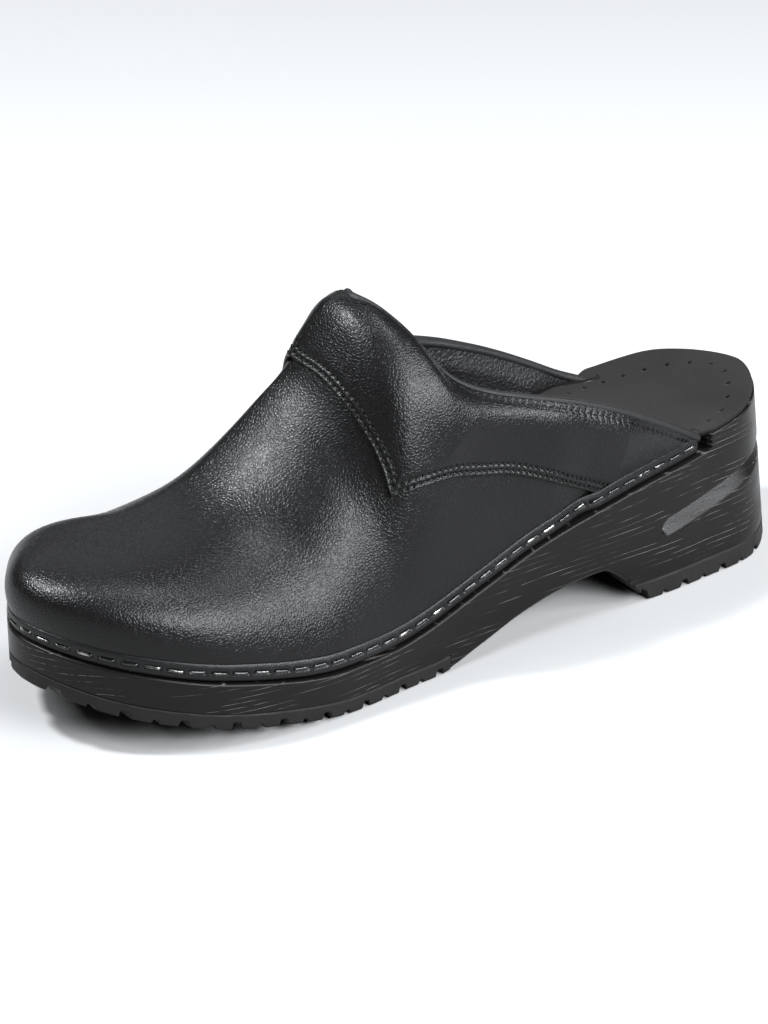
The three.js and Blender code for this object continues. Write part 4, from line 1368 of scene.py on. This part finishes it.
def add_camera():
    back, right, up = view_axes(CAMERA_AZIMUTH, CAMERA_ELEVATION)
    middle = Vector(-CENTRE * MM)
    place = middle + back * CAMERA_DISTANCE * MM
    aim = middle + (right * CAMERA_AIM_RIGHT + up * CAMERA_AIM_UP) * MM
    data = bpy.data.cameras.new("camera")
    data.lens = CAMERA_LENS
    data.sensor_width = 36.0
    data.sensor_fit = "AUTO"
    data.clip_start = 0.05
    data.clip_end = 20.0
    camera = bpy.data.objects.new("camera", data)
    camera.location = place
    camera.rotation_euler = (aim - place).to_track_quat("-Z", "Y").to_euler()
    bpy.context.scene.collection.objects.link(camera)
    bpy.context.scene.camera = camera


def add_light(name, azimuth, elevation, distance, width, height, power, turn):
    """A softbox on a sphere round the shoe, facing it; turn tips its top to the right."""
    back, _, _ = view_axes(azimuth, elevation)
    data = bpy.data.lights.new(name, "AREA")
    data.shape = "RECTANGLE"
    data.size = width
    data.size_y = height
    data.energy = power
    light = bpy.data.objects.new(name, data)
    data.color = LIGHT_COLOUR
    light.location = Vector((0, 0, LIGHT_AIM)) + back * distance
    tip = Quaternion((0, 0, 1), math.radians(-turn))
    light.rotation_euler = (back.to_track_quat("Z", "Y") @ tip).to_euler()
    bpy.context.scene.collection.objects.link(light)


def add_floor():
    """A plain pale floor."""
    rows = np.linspace(-FLOOR_HALF, FLOOR_HALF, 41)
    points = [(x, y, 0.0) for x in rows for y in rows]
    mesh = bpy.data.meshes.new("floor")
    mesh.from_pydata(points, [], grid_faces(len(rows), len(rows)))
    finish = Finish("floor_paper", Specular_IOR_Level=0.1)
    finish.colour(finish.noise(400), grey(0.33), grey(0.34))
    finish.rough(finish.noise(90), 0.9, 0.95)
    mesh.materials.append(finish.material)
    floor = bpy.data.objects.new("floor", mesh)
    bpy.context.scene.collection.objects.link(floor)


def add_studio():
    scene = bpy.context.scene
    scene.view_settings.view_transform = "Standard"
    scene.view_settings.look = "None"
    world = bpy.data.worlds.new("studio")
    world.use_nodes = True
    background = world.node_tree.nodes["Background"]
    background.inputs["Color"].default_value = (1, 1, 1, 1)
    background.inputs["Strength"].default_value = 0.02
    scene.world = world
    for light in LIGHTS:
        add_light(*light)


# ------------------------------------------------------------------ assembly
add_camera()
add_studio()
add_floor()

upper = leather_finish("upper_leather", 0.0035, (0.29, 0.36), 1.05, 0.1)
lining_mat = leather_finish("lining_leather", 0.006, (0.42, 0.55), 1.7, 0.22)
strip_mat = leather_finish("strip_leather", 0.005, (0.32, 0.44), 0.7, 0.05)
wood = wood_finish()
rubber = rubber_finish()
footbed = footbed_finish()
cushion_mat = foam_finish("cushion_foam", (0.1, 0.1, 0.11, 1), (0.22, 0.22, 0.24, 1))
padding = foam_finish("padding_foam", (0.5, 0.46, 0.34, 1), (0.72, 0.68, 0.55, 1))
board = board_finish()
binding = binding_finish()
wire = wire_finish()
thread = thread_finish()

staple_nodes = sorted(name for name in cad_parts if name.startswith("staple_"))
staple_nodes.remove("staple_strip")


plan = [
    (build_sole(wood.material), "stained_wood", ["sole_block"]),
    (build_fore_tread(rubber.material), "tread_rubber", ["fore_outsole"]),
    (build_heel_tread(rubber.material), "tread_rubber", ["heel_outsole"]),
    (build_footbed(footbed.material), "footbed_leather", ["footbed_sock"]),
    (build_cushion(cushion_mat.material), "cushion_foam", ["footbed_cushion"]),
    (build_vamp(upper.material), "upper_leather", ["vamp"]),
    (build_collar(upper.material), "upper_leather", ["collar_panel"]),
    (build_lining(lining_mat.material), "lining_leather", ["lining"]),
    (build_puff(board.material), "stiffener_board", ["toe_puff"]),
    (build_padding(-1, "padding_lateral", padding.material), "padding_foam", ["collar_padding_lateral"]),
    (build_padding(1, "padding_medial", padding.material), "padding_foam", ["collar_padding_medial"]),
    (build_binding(binding.material), "binding_tape", ["topline_binding"]),
    (build_strip(strip_mat.material), "strip_leather", ["staple_strip"]),
    (build_staples(wire.material), "staple_wire", staple_nodes),
    (build_stitches(thread.material), "upper_leather", []),
]
for piece, slot, nodes in plan:
    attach(piece, "root")
    if nodes:
        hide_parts(*nodes)
